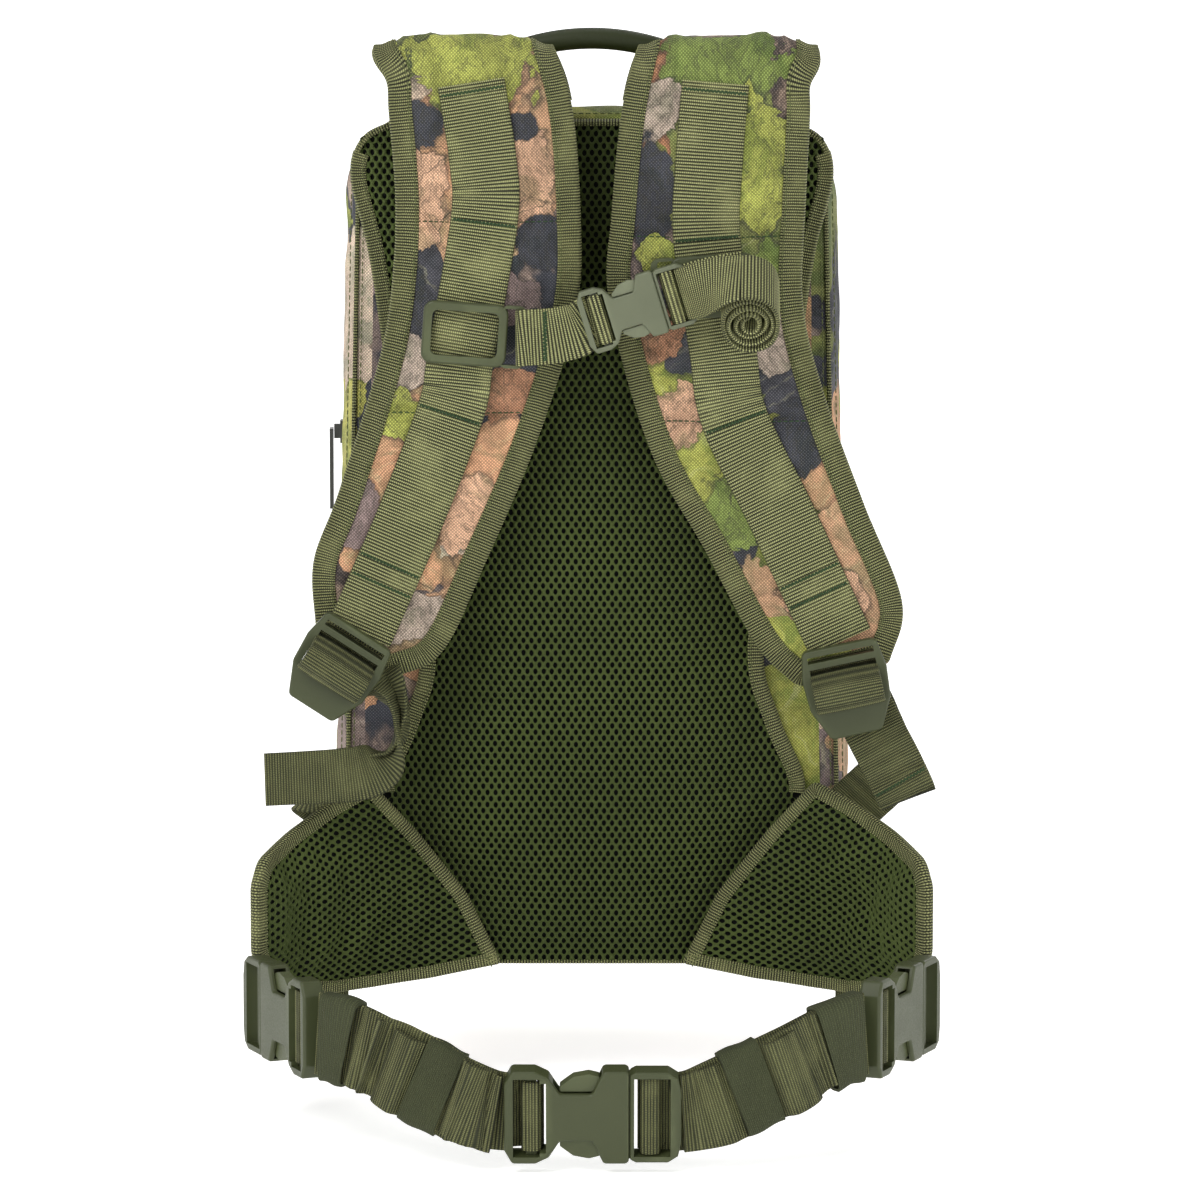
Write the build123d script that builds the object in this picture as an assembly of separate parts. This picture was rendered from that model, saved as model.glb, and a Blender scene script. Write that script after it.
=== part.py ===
"""Hunting backpack with a waist belt: every cut panel, pad, strap and moulded fitting as its own solid.

Frame, in millimetres: +Z up, -Y towards the wearer, x = 0 in the middle, z = 0 at the pack's base,
y = 0 on the back panel that rests on the wearer.
"""
from build123d import *
import math
import os

# ---- the pack's body
BODY_HEIGHT = 405.0
BODY_HALF_BASE = 122.5
BODY_HALF_TOP = 114.0
BODY_TOP_RADIUS = 42.0
BODY_BASE_RADIUS = 26.0
SHELL = 3.0
TRAY_FRONT = 3.0
TRAY_BACK = 92.0
ZIP_BACK = 96.0
LID_BACK = 130.0
POCKET_BACK = 162.0
POCKET_HALF = 96.0
POCKET_LOW = 26.0
POCKET_HIGH = 262.0
LID_ROUND = 14.0
POCKET_ROUND = 12.0
SEAM_GAP = 0.3

# ---- padding on the wearer's side
BACK_PAD = 8.0
MESH = 2.5
TAPE = 11.0
SHEET = 2.0

# ---- straps and webbing
WEBBING = 1.6
STRAP_WEBBING = 30.0
HIP_WEBBING = 38.0
CHEST_WEBBING = 25.0
STRAP_FOAM_BACK = -6.0
STRAP_FOAM_FRONT = 5.2
STRAP_FACE = 1.2

# ---- side-release buckle for 38 mm webbing, in its own frame: +X is the way the plug leaves,
# the split between the two halves is at x = 0, and Y is the thickness
COLLAR_HALF = 22.5
COLLAR_LENGTH = 11.5
WAIST_HALF = 11.5
SOCKET_LENGTH = 56.0
PLUG_LENGTH = 23.4
BUCKLE_HALF_THICK = 5.2
CAVITY_HALF_THICK = 3.0
CAVITY_HALF = 21.0
PRONG_HALF_THICK = 2.6
BAR_HALF_THICK = 1.8
SOCKET_BAR = -43.75
PLUG_BAR = 9.5
BAR_HALF = 2.4
CHEST_SCALE = 0.66

# ---- where the fittings sit: origin of the split plane and direction of the plug
LEAN = math.radians(12)
CENTRE_BUCKLE = Plane((16.8, -195, -31), x_dir=(1, 0, 0), z_dir=(0, -math.sin(LEAN), math.cos(LEAN)))
SIDE_SPLIT = (148.0, -103.5, -1.5)
SIDE_DIRECTION = (0.40, 0.9165)
CHEST_ANGLE = math.radians(17)
CHEST_BUCKLE = Plane(
    (31.5, -65, 322),
    x_dir=(math.cos(CHEST_ANGLE), 0, math.sin(CHEST_ANGLE)),
    z_dir=(-math.sin(CHEST_ANGLE), 0, math.cos(CHEST_ANGLE)),
)

# ---- carrying handle
HANDLE_RADIUS = 5.0
HANDLE_HALF_SPAN = 62.0
HANDLE_LOW = 418.0
HANDLE_TOP = 438.0
HANDLE_Y = 12.0
HANDLE_FOOT = 407.2

parts = {}


def side_name(side):
    """The name of a side: the wearer's side at -X is called left."""
    return "left" if side < 0 else "right"


def prism_y(face, front, back):
    """Extrude a face drawn in (x, z) from y = front to y = back."""
    return extrude(Plane.XZ.offset(-back) * face, amount=back - front)


def prism_x(face, low, high):
    """Extrude a face drawn in (y, z) from x = low to x = high."""
    return extrude(Plane.YZ.offset(low) * face, amount=high - low)


def prism_z(face, low, high):
    """Extrude a face drawn in (x, y) from z = low to z = high."""
    return extrude(Plane.XY.offset(low) * face, amount=high - low)


def block(low, high):
    """An axis-aligned block between two corners."""
    size = [high[i] - low[i] for i in range(3)]
    middle = [(high[i] + low[i]) / 2 for i in range(3)]
    return Pos(*middle) * Box(*size)


def polygon(points, radius=0.0):
    """A closed flat outline with every corner rounded by one radius."""
    face = make_face(Polyline(*points, close=True))
    if radius:
        face = fillet(face.vertices(), radius)
    return face


def band(points, low, high):
    """A flat band along a smooth line, between two distances to the left of its direction."""
    line = Spline(*points)
    count = 4 * len(points)
    edges = []
    for distance in (low, high):
        shifted = []
        for step in range(count + 1):
            here = line @ (step / count)
            along = (line % (step / count)).normalized()
            shifted.append((here.X - along.Y * distance, here.Y + along.X * distance))
        edges.append(Spline(*shifted))
    near, far = edges
    return make_face([near, Line(near @ 1, far @ 1), far, Line(far @ 0, near @ 0)])


def mirrored(points, side):
    """Points given for the +X side, moved to the side asked for."""
    return [(side * point[0], *point[1:]) for point in points]


# ================================================================ the pack's body


def body_outline(inset):
    """The pack seen from behind, a tall rectangle that narrows upwards, drawn inwards by inset."""
    slope = (BODY_HALF_BASE - BODY_HALF_TOP) / BODY_HEIGHT
    low = inset
    high = BODY_HEIGHT - inset
    wide = BODY_HALF_BASE - slope * low - inset
    narrow = BODY_HALF_BASE - slope * high - inset
    face = make_face(Polyline((-wide, low), (wide, low), (narrow, high), (-narrow, high), close=True))
    corners = face.vertices().sort_by(Axis.Y)
    face = fillet(corners[:2], BODY_BASE_RADIUS - inset)
    corners = face.vertices().sort_by(Axis.Y)[-2:]
    return fillet(corners, BODY_TOP_RADIUS - inset)


def make_body():
    """Tray against the back, zip round the edge, lid with its pocket, and the stiff sheet inside."""
    tray = prism_y(body_outline(0), TRAY_FRONT, TRAY_BACK)
    tray = fillet(tray.edges().group_by(Axis.Y)[0], 6)
    tray -= prism_y(body_outline(SHELL), TRAY_FRONT + SHELL, TRAY_BACK + 1)
    parts["main_shell"] = tray

    zip_ring = prism_y(body_outline(0.8), TRAY_BACK + SEAM_GAP, ZIP_BACK)
    zip_ring -= prism_y(body_outline(SHELL), TRAY_BACK, ZIP_BACK + 1)
    parts["main_zip"] = zip_ring

    lid = prism_y(body_outline(0), ZIP_BACK + SEAM_GAP, LID_BACK)
    lid = fillet(lid.edges().group_by(Axis.Y)[-1], LID_ROUND)
    cavity = prism_y(body_outline(SHELL), ZIP_BACK, LID_BACK - SHELL)
    lid -= fillet(cavity.edges().group_by(Axis.Y)[-1], LID_ROUND - SHELL)
    parts["lid_shell"] = lid

    pocket_face = polygon(
        [
            (-POCKET_HALF, POCKET_LOW),
            (POCKET_HALF, POCKET_LOW),
            (POCKET_HALF - 6, POCKET_HIGH),
            (-POCKET_HALF + 6, POCKET_HIGH),
        ],
        24,
    )
    pocket = prism_y(pocket_face, LID_BACK + SEAM_GAP, POCKET_BACK)
    pocket = fillet(pocket.edges().group_by(Axis.Y)[-1], POCKET_ROUND)
    cavity = prism_y(offset(pocket_face, amount=-SHELL), LID_BACK, POCKET_BACK - SHELL)
    pocket -= fillet(cavity.edges().group_by(Axis.Y)[-1], POCKET_ROUND - SHELL)
    parts["front_pocket"] = pocket

    # the pocket's zip runs across its upper face, under a short flap
    parts["pocket_zip"] = block(
        (-68, LID_BACK + 9, POCKET_HIGH + SEAM_GAP), (68, LID_BACK + 13, POCKET_HIGH + 2.5)
    )

    sheet = prism_y(body_outline(SHELL + 8), TRAY_FRONT + SHELL + SEAM_GAP, TRAY_FRONT + SHELL + SHEET)
    parts["frame_sheet"] = sheet


def back_outline(inset):
    """The hourglass back panel: wide shoulders, narrow waist and a foot cut off by the wings."""
    half = [
        (42, 0),
        (62, 37),
        (84, 62),
        (100, 84),
        (88, 117),
        (80, 150),
        (88, 222),
        (98, 300),
        (104, 340),
        (112, 374),
        (104, 392),
        (84, 397),
    ]
    right = [(x - inset, z) for x, z in half]
    right[0] = (half[0][0] - inset, inset)
    right[-1] = (half[-1][0], half[-1][1] - inset)
    right[-2] = (half[-2][0] - inset, half[-2][1] - inset * 0.7)
    left = [(-x, z) for x, z in reversed(right)]
    return polygon(right + left, 3)


def make_back():
    """Foam, spacer mesh and the tape that binds them, on the face that touches the wearer."""
    front = TRAY_FRONT - SEAM_GAP
    parts["back_foam"] = prism_y(back_outline(4), front - BACK_PAD, front)
    parts["back_mesh"] = prism_y(back_outline(4), front - BACK_PAD - MESH, front - BACK_PAD - 0.1)
    parts["back_binding"] = prism_y(back_outline(0), front - 5, front) - prism_y(
        back_outline(3.8), front - 6, front + 1
    )


# ================================================================ shoulder straps

# outer and inner edges in (x, z) for each side, from the shoulder down, and the end's two corners
STRAP_EDGES = {
    -1: {
        "outer": [(-98, 450), (-93, 410), (-90, 370), (-91, 335), (-97, 295), (-117, 230), (-129, 197), (-128, 166)],
        "inner": [(-26, 450), (-11, 415), (-6, 360), (-8, 315), (-26, 255), (-50, 198), (-71, 155), (-96, 143)],
    },
    1: {
        "outer": [(102, 450), (100, 410), (98, 365), (97, 318), (107, 276), (126, 224), (144, 178), (138, 150)],
        "inner": [(28, 450), (16, 415), (10, 360), (9, 318), (28, 250), (53, 204), (78, 158), (97, 139)],
    },
}
# the strap's middle layer in (y, z): out of the top seam, over the shoulder and down the front
STRAP_PROFILE = [(-5.2, 402), (-6, 420), (-20, 434), (-35, 424), (-41, 392), (-40, 300), (-37, 210), (-40, 136)]
# the centre webbing in (x, z) and the height that it stands off the strap's face, in (y, z)
WEBBING_LINE = {
    -1: [(-55.5, 421), (-50, 385), (-49.5, 358), (-60.5, 295), (-65, 270), (-84, 220), (-108, 165)],
    1: [(57, 421), (54, 385), (53, 350), (60.5, 298), (66, 266), (88, 220), (115.5, 161)],
}
WEBBING_PROFILE = [
    (-46.0, 421),
    (-50.2, 397),
    (-52.6, 372),
    (-52.7, 330),
    (-52.6, 290),
    (-47.8, 264),
    (-46.2, 225),
    (-46.6, 158),
]


def strap_outline(side, inset):
    """The strap's flat shape from the front, drawn inwards by inset at both long edges."""
    outer = Spline(*[(x - side * inset, z) for x, z in STRAP_EDGES[side]["outer"]])
    inner = Spline(*[(x + side * inset, z) for x, z in STRAP_EDGES[side]["inner"]])
    return make_face([outer, Line(outer @ 1, inner @ 1), inner, Line(inner @ 0, outer @ 0)])


def make_strap(side):
    """One padded shoulder strap: face fabric, foam with its lining, bound edge and centre webbing."""
    name = f"strap_{side_name(side)}"
    middle = prism_y(strap_outline(side, 3.2), -80, 20)
    whole = prism_y(strap_outline(side, 0), -80, 20)
    rim = whole - middle
    reach = (-160, 160)
    # the profile runs from the pack outwards, so the side away from the wearer's chest is at its right
    foam = prism_x(band(STRAP_PROFILE, -STRAP_FOAM_FRONT, -STRAP_FOAM_BACK), *reach)
    face = prism_x(band(STRAP_PROFILE, -STRAP_FOAM_FRONT - STRAP_FACE, -STRAP_FOAM_FRONT - 0.1), *reach)
    bound = prism_x(band(STRAP_PROFILE, -STRAP_FOAM_FRONT - STRAP_FACE, -STRAP_FOAM_BACK), *reach)
    parts[f"{name}_pad"] = middle & foam
    parts[f"{name}_face"] = middle & face
    parts[f"{name}_binding"] = rim & bound

    half = STRAP_WEBBING / 2
    stripe = prism_y(band(WEBBING_LINE[side], -half, half), -80, 0)
    layer = prism_x(band(WEBBING_PROFILE, -WEBBING, 0), *reach)
    parts[f"{name}_webbing"] = stripe & layer


# ================================================================ side-release buckles


def buckle():
    """Socket, plug and two prongs of one side-release buckle, in the buckle's own frame."""
    upper = [
        (0, COLLAR_HALF),
        (-COLLAR_LENGTH, COLLAR_HALF),
        (-16.5, WAIST_HALF),
        (-31, WAIST_HALF),
        (-36, 19.5),
        (-42, COLLAR_HALF),
        (-52.5, COLLAR_HALF),
        (-SOCKET_LENGTH, 16),
    ]
    outline = polygon(upper + [(x, -z) for x, z in reversed(upper)], 2.2)
    socket = extrude(Plane.XZ * outline, amount=BUCKLE_HALF_THICK, both=True)
    rims = socket.edges().group_by(Axis.Y)
    socket = fillet(rims[0] + rims[-1], 1.4)
    deep = BUCKLE_HALF_THICK + 1
    socket -= block((-34, -CAVITY_HALF_THICK, -CAVITY_HALF), (1, CAVITY_HALF_THICK, CAVITY_HALF))
    socket -= block((-52, -deep, -19), (-40, deep, 19))
    socket -= block((-41, -deep, -17), (-37.2, deep, 17))
    socket += block((SOCKET_BAR - BAR_HALF, -BAR_HALF_THICK, -19.5), (SOCKET_BAR + BAR_HALF, BAR_HALF_THICK, 19.5))
    for sign in (-1, 1):
        rib = sorted((sign * 5.6, sign * 6.8))
        socket += block((-34.5, -CAVITY_HALF_THICK - 0.5, rib[0]), (-7.5, CAVITY_HALF_THICK + 0.5, rib[1]))

    upper = [(0.4, 20.5), (3, COLLAR_HALF - 0.5), (17.5, COLLAR_HALF - 0.5), (22, 19), (PLUG_LENGTH, 12)]
    frame = polygon([(x, -z) for x, z in reversed(upper)] + upper, 1.2)
    plug = extrude(Plane.XZ * frame, amount=BUCKLE_HALF_THICK - 0.5, both=True)
    rims = plug.edges().group_by(Axis.Y)
    plug = fillet(rims[0] + rims[-1], 1.0)
    plug -= block((2.2, -deep, -19), (18.6, deep, 19))
    plug += block((PLUG_BAR - BAR_HALF, -BAR_HALF_THICK, -19.5), (PLUG_BAR + BAR_HALF, BAR_HALF_THICK, 19.5))
    plug += block((-6.0, -PRONG_HALF_THICK, -20.6), (2.3, PRONG_HALF_THICK, 20.6))
    plug += block((-30, -PRONG_HALF_THICK, -4.6), (-5, PRONG_HALF_THICK, 4.6))

    prongs = []
    for sign in (1, -1):
        arm = [(-6.3, 12.2), (-6.3, 16), (-12.0, 16.2), (-13.4, 19.4), (-18, 20.6), (-25, 19.2), (-31, 14.5), (-31, 12.2)]
        if sign < 0:
            arm = [(x, -z) for x, z in reversed(arm)]
        prong = extrude(Plane.XZ * polygon(arm, 0.9), amount=PRONG_HALF_THICK, both=True)
        prongs.append(prong)
    return {"socket": socket, "plug": plug, "prong_upper": prongs[0], "prong_lower": prongs[1]}


def wrap(bar):
    """Webbing that goes over a buckle's bar: a face in front and a leg down through each slot."""
    gap = 0.25
    front = BAR_HALF_THICK + gap
    outer = block(
        (bar - BAR_HALF - gap - WEBBING, -front - WEBBING, -18.6), (bar + BAR_HALF + gap + WEBBING, 5.0, 18.6)
    )
    outer -= block((bar - BAR_HALF - gap, -front, -20), (bar + BAR_HALF + gap, 6.0, 20))
    return outer & block((-80, -20, -16.6), (80, 20, 16.6)) if bar == SOCKET_BAR else outer


def place_buckle(pieces, plane, names, size=1.0):
    """Put a buckle's pieces, and the webbing over its two bars, at a plane under the names given."""
    for key, name in names.items():
        piece = pieces[key] if size == 1.0 else scale(pieces[key], by=size)
        parts.setdefault(name, []).append(Location(plane) * piece)


def side_plane(side):
    """The frame of a side buckle, whose plug points back to the wing and whose face is outwards."""
    origin = (side * SIDE_SPLIT[0], SIDE_SPLIT[1], SIDE_SPLIT[2])
    along = (side * SIDE_DIRECTION[0], SIDE_DIRECTION[1], 0)
    return Plane(origin, x_dir=along, z_dir=(0, 0, side))


def make_buckles():
    """The waist buckle, the two side buckles and the chest buckle."""
    pieces = buckle()
    pieces["socket_wrap"] = wrap(SOCKET_BAR)
    pieces["plug_wrap"] = wrap(PLUG_BAR)
    place_buckle(
        pieces,
        CENTRE_BUCKLE,
        {
            "socket": "waist_buckle_socket",
            "plug": "waist_buckle_plug",
            "prong_upper": "waist_prong_upper",
            "prong_lower": "waist_prong_lower",
            "socket_wrap": "belt_webbing_left",
            "plug_wrap": "belt_webbing_right",
        },
    )
    for side in (-1, 1):
        word = side_name(side)
        upper, lower = ("prong_upper", "prong_lower") if side > 0 else ("prong_lower", "prong_upper")
        place_buckle(
            pieces,
            side_plane(side),
            {
                "socket": f"side_buckle_{word}_socket",
                "plug": f"side_buckle_{word}_plug",
                upper: f"side_prong_{word}_upper",
                lower: f"side_prong_{word}_lower",
                "socket_wrap": f"belt_webbing_{word}",
                "plug_wrap": f"wing_loop_{word}",
            },
        )
    place_buckle(
        pieces,
        CHEST_BUCKLE,
        {
            "socket": "chest_buckle_socket",
            "plug": "chest_buckle_plug",
            "prong_upper": "chest_prong_upper",
            "prong_lower": "chest_prong_lower",
            "socket_wrap": "chest_webbing_left",
            "plug_wrap": "chest_webbing_right",
        },
        CHEST_SCALE,
    )


# ================================================================ waist belt

# the belt in plan (x, y) and its droop in (x, z), from the side buckle to the waist buckle
BELT_PLAN = {
    -1: [(-124.5, -157.5), (-108, -170), (-84, -182), (-62, -189), (-42, -192.5)],
    1: [(124.5, -157.5), (110, -169), (88, -181), (66, -189), (43, -192.5)],
}
BELT_DROOP = {
    -1: [(-126, -2), (-108, -4), (-84, -14), (-62, -24), (-40, -31)],
    1: [(126, -2), (110, -4), (88, -13), (66, -22), (41, -31)],
}
KEEPERS = {-1: [(-113, -98), (-76, -60)], 1: [(62, 78), (98, 113)]}


def make_belt(side):
    """Waist webbing folded back on itself, and the elastic keepers that hold the slack."""
    word = side_name(side)
    half = HIP_WEBBING / 2
    front_view = prism_y(band(BELT_DROOP[side], -half, half), -220, -120)
    strap = front_view & prism_z(band(BELT_PLAN[side], -1.7, 1.7), -80, 40)
    parts[f"belt_webbing_{word}"].append(strap)

    sleeve_view = prism_y(band(BELT_DROOP[side], -half - 1.8, half + 1.8), -220, -120)
    sleeve = sleeve_view & prism_z(band(BELT_PLAN[side], -3.2, 3.2), -80, 40)
    bore_view = prism_y(band(BELT_DROOP[side], -half - 0.6, half + 0.6), -220, -120)
    bore = bore_view & prism_z(band(BELT_PLAN[side], -2.0, 2.0), -80, 40)
    tube = sleeve - bore
    parts[f"belt_keepers_{word}"] = [
        tube & block((low, -220, -80), (high, -120, 60)) for low, high in KEEPERS[side]
    ]


# the wings in plan (x, y), and their outline in (x, z), for the +X side
WING_PLAN = [(44, -9.5), (78, -13), (112, -24), (140, -45), (156, -72)]
WING_OUTLINE = [
    (46, 3),
    (62, 34),
    (85, 64),
    (107, 90),
    (122, 82),
    (140, 71),
    (153, 61),
    (158, 45),
    (157, 30),
    (148, 24),
    (128, -2),
    (104, -5),
    (76, -4),
]


def wing_outline(side, inset):
    """A waist wing's flat shape, drawn inwards by inset."""
    face = polygon(mirrored(WING_OUTLINE, side), 4)
    return offset(face, amount=-inset) if inset else face


def make_wing(side):
    """One padded wing of the waist belt, curved round the wearer's hip, with its webbing loop."""
    word = side_name(side)
    plan = mirrored(WING_PLAN, side)
    # with the line running outwards, the wearer's face is on its right for +X and its left for -X
    inward = -side
    layers = {"mesh": (2.4, 4.4), "foam": (-3.6, 2.3)}
    middle = prism_y(wing_outline(side, 3.0), -120, 20)
    for layer, (low, high) in layers.items():
        ends = sorted((inward * low, inward * high))
        parts[f"wing_{word}_{layer}"] = middle & prism_z(band(plan, *ends), -40, 120)
    rim = prism_y(wing_outline(side, 0), -120, 20) - middle
    ends = sorted((inward * -3.6, inward * 4.4))
    parts[f"wing_{word}_binding"] = rim & prism_z(band(plan, *ends), -40, 120)

    # the webbing that holds the side buckle's plug is sewn to the outside of the wing
    loop_plan = mirrored([(147.9, -88.2), (152.3, -77.5), (156, -62), (153, -50.5), (144.4, -40.2), (130.1, -27.8), (115.6, -18.6)], side)
    loop = prism_z(band(loop_plan, -0.8, 0.8), -20.1, 17.1)
    parts[f"wing_loop_{word}"].append(loop)


# ================================================================ ladder locks and lower straps

# the middle of each lock's upper edge (x, z) and its turn about Y, in degrees from upright
LOCKS = {-1: (-107.5, 167.0, 33.0), 1: (114.5, 160.5, -12.0)}
LOCK_Y = -52.5
LOCK_HALF = 20.0
LOCK_HEIGHT = 43.0


def lock_plane(side):
    """A lock's own frame: x across the strap, z up the strap, y the way the wearer's back lies."""
    x, z, turn = LOCKS[side]
    angle = math.radians(turn)
    up = (math.sin(angle), 0, math.cos(angle))
    across = (math.cos(angle), 0, -math.sin(angle))
    return Plane((x, LOCK_Y, z), x_dir=across, z_dir=up)


def make_tail(side):
    """The free end of one lower webbing, hanging from its lock in the shape that it has taken."""
    half = STRAP_WEBBING / 2 - 0.5
    if side > 0:
        drop = prism_y(band([(121, 141), (133, 117), (149.5, 87)], -half, half), -70, -30)
        return [drop & prism_x(band([(-46, 148), (-46.9, 120), (-51, 102), (-57, 74)], -0.8, 0.8), 90, 180)]
    drop = prism_y(band([(-103, 138), (-96, 124), (-90, 108)], -8, 8), -46.8, -45.2)
    curl = prism_z(band([(-91, -41.5), (-86, -48), (-96, -54.5), (-122, -56), (-152, -59)], -0.8, 0.8), 86, 113)
    return [drop, curl]


def make_lock(side):
    """One ladder lock with the lower webbing woven round its middle bar, and that webbing's anchor."""
    word = side_name(side)
    outline = polygon(
        [
            (-17.5, 0),
            (17.5, 0),
            (LOCK_HALF, -14),
            (LOCK_HALF - 1, -28),
            (12, -LOCK_HEIGHT),
            (-12, -LOCK_HEIGHT),
            (1 - LOCK_HALF, -28),
            (-LOCK_HALF, -14),
        ],
        3.0,
    )
    lock = prism_y(outline, -3.2, 2.6)
    rims = lock.edges().group_by(Axis.Y)
    lock = fillet(rims[0] + rims[-1], 1.1)
    lock -= block((-15.6, -6, -29), (15.6, 6, -9))
    lock += block((-16, -1.4, -20.5), (16, 1.4, -16.5))
    # the upper slot that the strap's sewn webbing goes through
    lock -= block((-15.6, -6, -6.0), (15.6, 6, -3.2))
    place = Location(lock_plane(side))
    parts[f"ladder_lock_{word}"] = place * lock

    half = 15.0
    woven = block((-half, -5.2, -24.6), (half, 4.0, -12.4))
    woven -= block((-half - 1, -3.6, -22.8), (half + 1, 9, -14.2))
    parts[f"lower_webbing_{word}"] = [place * woven] + make_tail(side)

    # sewn into the side seam beside the wing, this end rises behind the lock
    anchor_line = mirrored([(107, 58), (125, 75), (143, 97)], side)
    anchor = prism_y(band(anchor_line, -13, 13), -60, 10)
    layer = prism_x(band([(-5, 40), (-6, 62), (-10, 80), (-24, 97), (-41, 114)], -0.8, 0.8), -170, 170)
    parts[f"anchor_webbing_{word}"] = anchor & layer


# ================================================================ chest strap

# middle of each slider (x, z), its turn in degrees, and the side of it that its eye is on
SLIDERS = [(-58.6, 306.0, 4.0, 1), (56.2, 328.0, -4.0, -1)]
SLIDER_Y = -52.4
SLIDER_HALF = (19.6, 14.5)
ROLL_END = (72.0, -90.0, 313.0)


def chest_slider(x, z, turn, eye_side):
    """A frame in front of the strap's webbing, a bar behind it, and an eye for the chest webbing."""
    angle = math.radians(turn)
    plane = Plane(
        (x, SLIDER_Y, z),
        x_dir=(math.cos(angle), 0, -math.sin(angle)),
        z_dir=(math.sin(angle), 0, math.cos(angle)),
    )
    half_x, half_z = SLIDER_HALF
    corners = [(-half_x, -half_z), (half_x, -half_z), (half_x, half_z), (-half_x, half_z)]
    frame = prism_y(polygon(corners, 5), -7.1, -3.1)
    rims = frame.edges().group_by(Axis.Y)
    frame = fillet(rims[0] + rims[-1], 1.1)
    frame -= prism_y(polygon([(-15.4, -10.5), (15.4, -10.5), (15.4, 10.5), (-15.4, 10.5)], 3), -8, 1)
    bar = block((-half_x, 1.2, -2.2), (half_x, 3.4, 2.2))
    for low, high in ((-half_x, -18.2), (18.2, half_x)):
        bar += block((low, -3.6, -2.2), (high, 3.4, 2.2))
    eye = prism_y(polygon(mirrored([(16, -14.5), (28.5, -14.5), (28.5, 14.5), (16, 14.5)], eye_side), 4), -6.9, -3.3)
    eye -= prism_y(polygon(mirrored([(17.6, -13), (25.4, -13), (25.4, 13), (17.6, 13)], eye_side), 1), -8, 1)
    return Location(plane) * (frame + bar + eye)


def make_chest_strap():
    """Both sliders, the webbing sewn to the left one, and the slack rolled up on the right."""
    parts["chest_sliders"] = [chest_slider(*place) for place in SLIDERS]
    half = CHEST_WEBBING / 2
    left_line = [(-29.6, 305.0), (-18, 305.6), (-7.2, 308.8)]
    parts["chest_webbing_left"].append(prism_y(band(left_line, -half, half), -66.4, -63.2))

    right_line = [(50.6, 328.0), (62, 330.6), (74, 331.4)]
    parts["chest_webbing_right"].append(prism_y(band(right_line, -half, half), -64.2, -62.6))
    # the slack is rolled into an oval coil whose open end is turned forwards and down
    roll_plane = Plane(ROLL_END, x_dir=(1, 0, 0), z_dir=(0, -1, -1))
    coil = extrude(roll_plane * Ellipse(13.5, 17.0), amount=-CHEST_WEBBING)
    parts["chest_webbing_right"].append(coil - prism_y(band(right_line, -half - 1, half + 1), -66, -50))


# ================================================================ handle and zip pulls


def make_handle():
    """A rubber tube over webbing, bowed upwards, with the webbing's two ends sewn to the pack's top."""
    middle = ThreePointArc(
        (-HANDLE_HALF_SPAN, HANDLE_Y, HANDLE_LOW), (0, HANDLE_Y, HANDLE_TOP), (HANDLE_HALF_SPAN, HANDLE_Y, HANDLE_LOW)
    )
    section = Plane(middle @ 0, z_dir=middle % 0) * Circle(HANDLE_RADIUS)
    grip = sweep(section, path=middle)
    parts["handle_grip"] = grip
    tails = []
    for side in (-1, 1):
        reach = sorted((side * (HANDLE_HALF_SPAN + 3.6), side * (HANDLE_HALF_SPAN + 13.0)))
        tails.append(block((reach[0], HANDLE_Y - 1.6, HANDLE_FOOT), (reach[1], HANDLE_Y + 1.6, 421.0)))
    parts["handle_webbing"] = tails


def make_zip_pulls():
    """The slider and cord pull of the main zip, and those of the pocket's zip."""
    # main slider: rides on the edge of the zip, half way up the left side
    edge = (BODY_HALF_BASE - BODY_HALF_TOP) / BODY_HEIGHT * 238 - BODY_HALF_BASE
    parts["main_slider"] = block((edge - 4.4, 90.4, 238), (edge - 0.4, 98.0, 249))
    parts["main_slider"] += block((edge - 7.4, 93.2, 240), (edge - 4.3, 95.2, 247))
    parts["main_pull"] = block((edge - 9.5, 90.0, 206), (edge - 7.8, 98.4, 245))

    top = POCKET_HIGH + 2.5 + SEAM_GAP
    middle = LID_BACK + 11
    parts["pocket_slider"] = block((-60, middle - 4, top), (-49, middle + 4, top + 3.2))
    parts["pocket_slider"] += block((-58, middle - 1, top + 3.1), (-51, middle + 1, top + 5.6))
    parts["pocket_pull"] = block((-61, middle - 4, top + 5.9), (-31, middle + 4, top + 7.5))


def main():
    """Build every piece and write one STEP for each."""
    make_body()
    make_back()
    make_buckles()
    for side in (-1, 1):
        make_strap(side)
        make_belt(side)
        make_wing(side)
        make_lock(side)
    make_chest_strap()
    make_handle()
    make_zip_pulls()

    os.makedirs("parts", exist_ok=True)
    for name, shape in parts.items():
        pieces = shape if isinstance(shape, list) else [shape]
        solids = [solid for piece in pieces for solid in piece.solids()]
        export_step(Compound(children=solids), f"parts/{name}.step")


main()
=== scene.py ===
"""Looks of a hunting backpack with a waist belt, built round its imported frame.

Lengths are in mm where nothing else is said.
"""
import math

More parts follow.
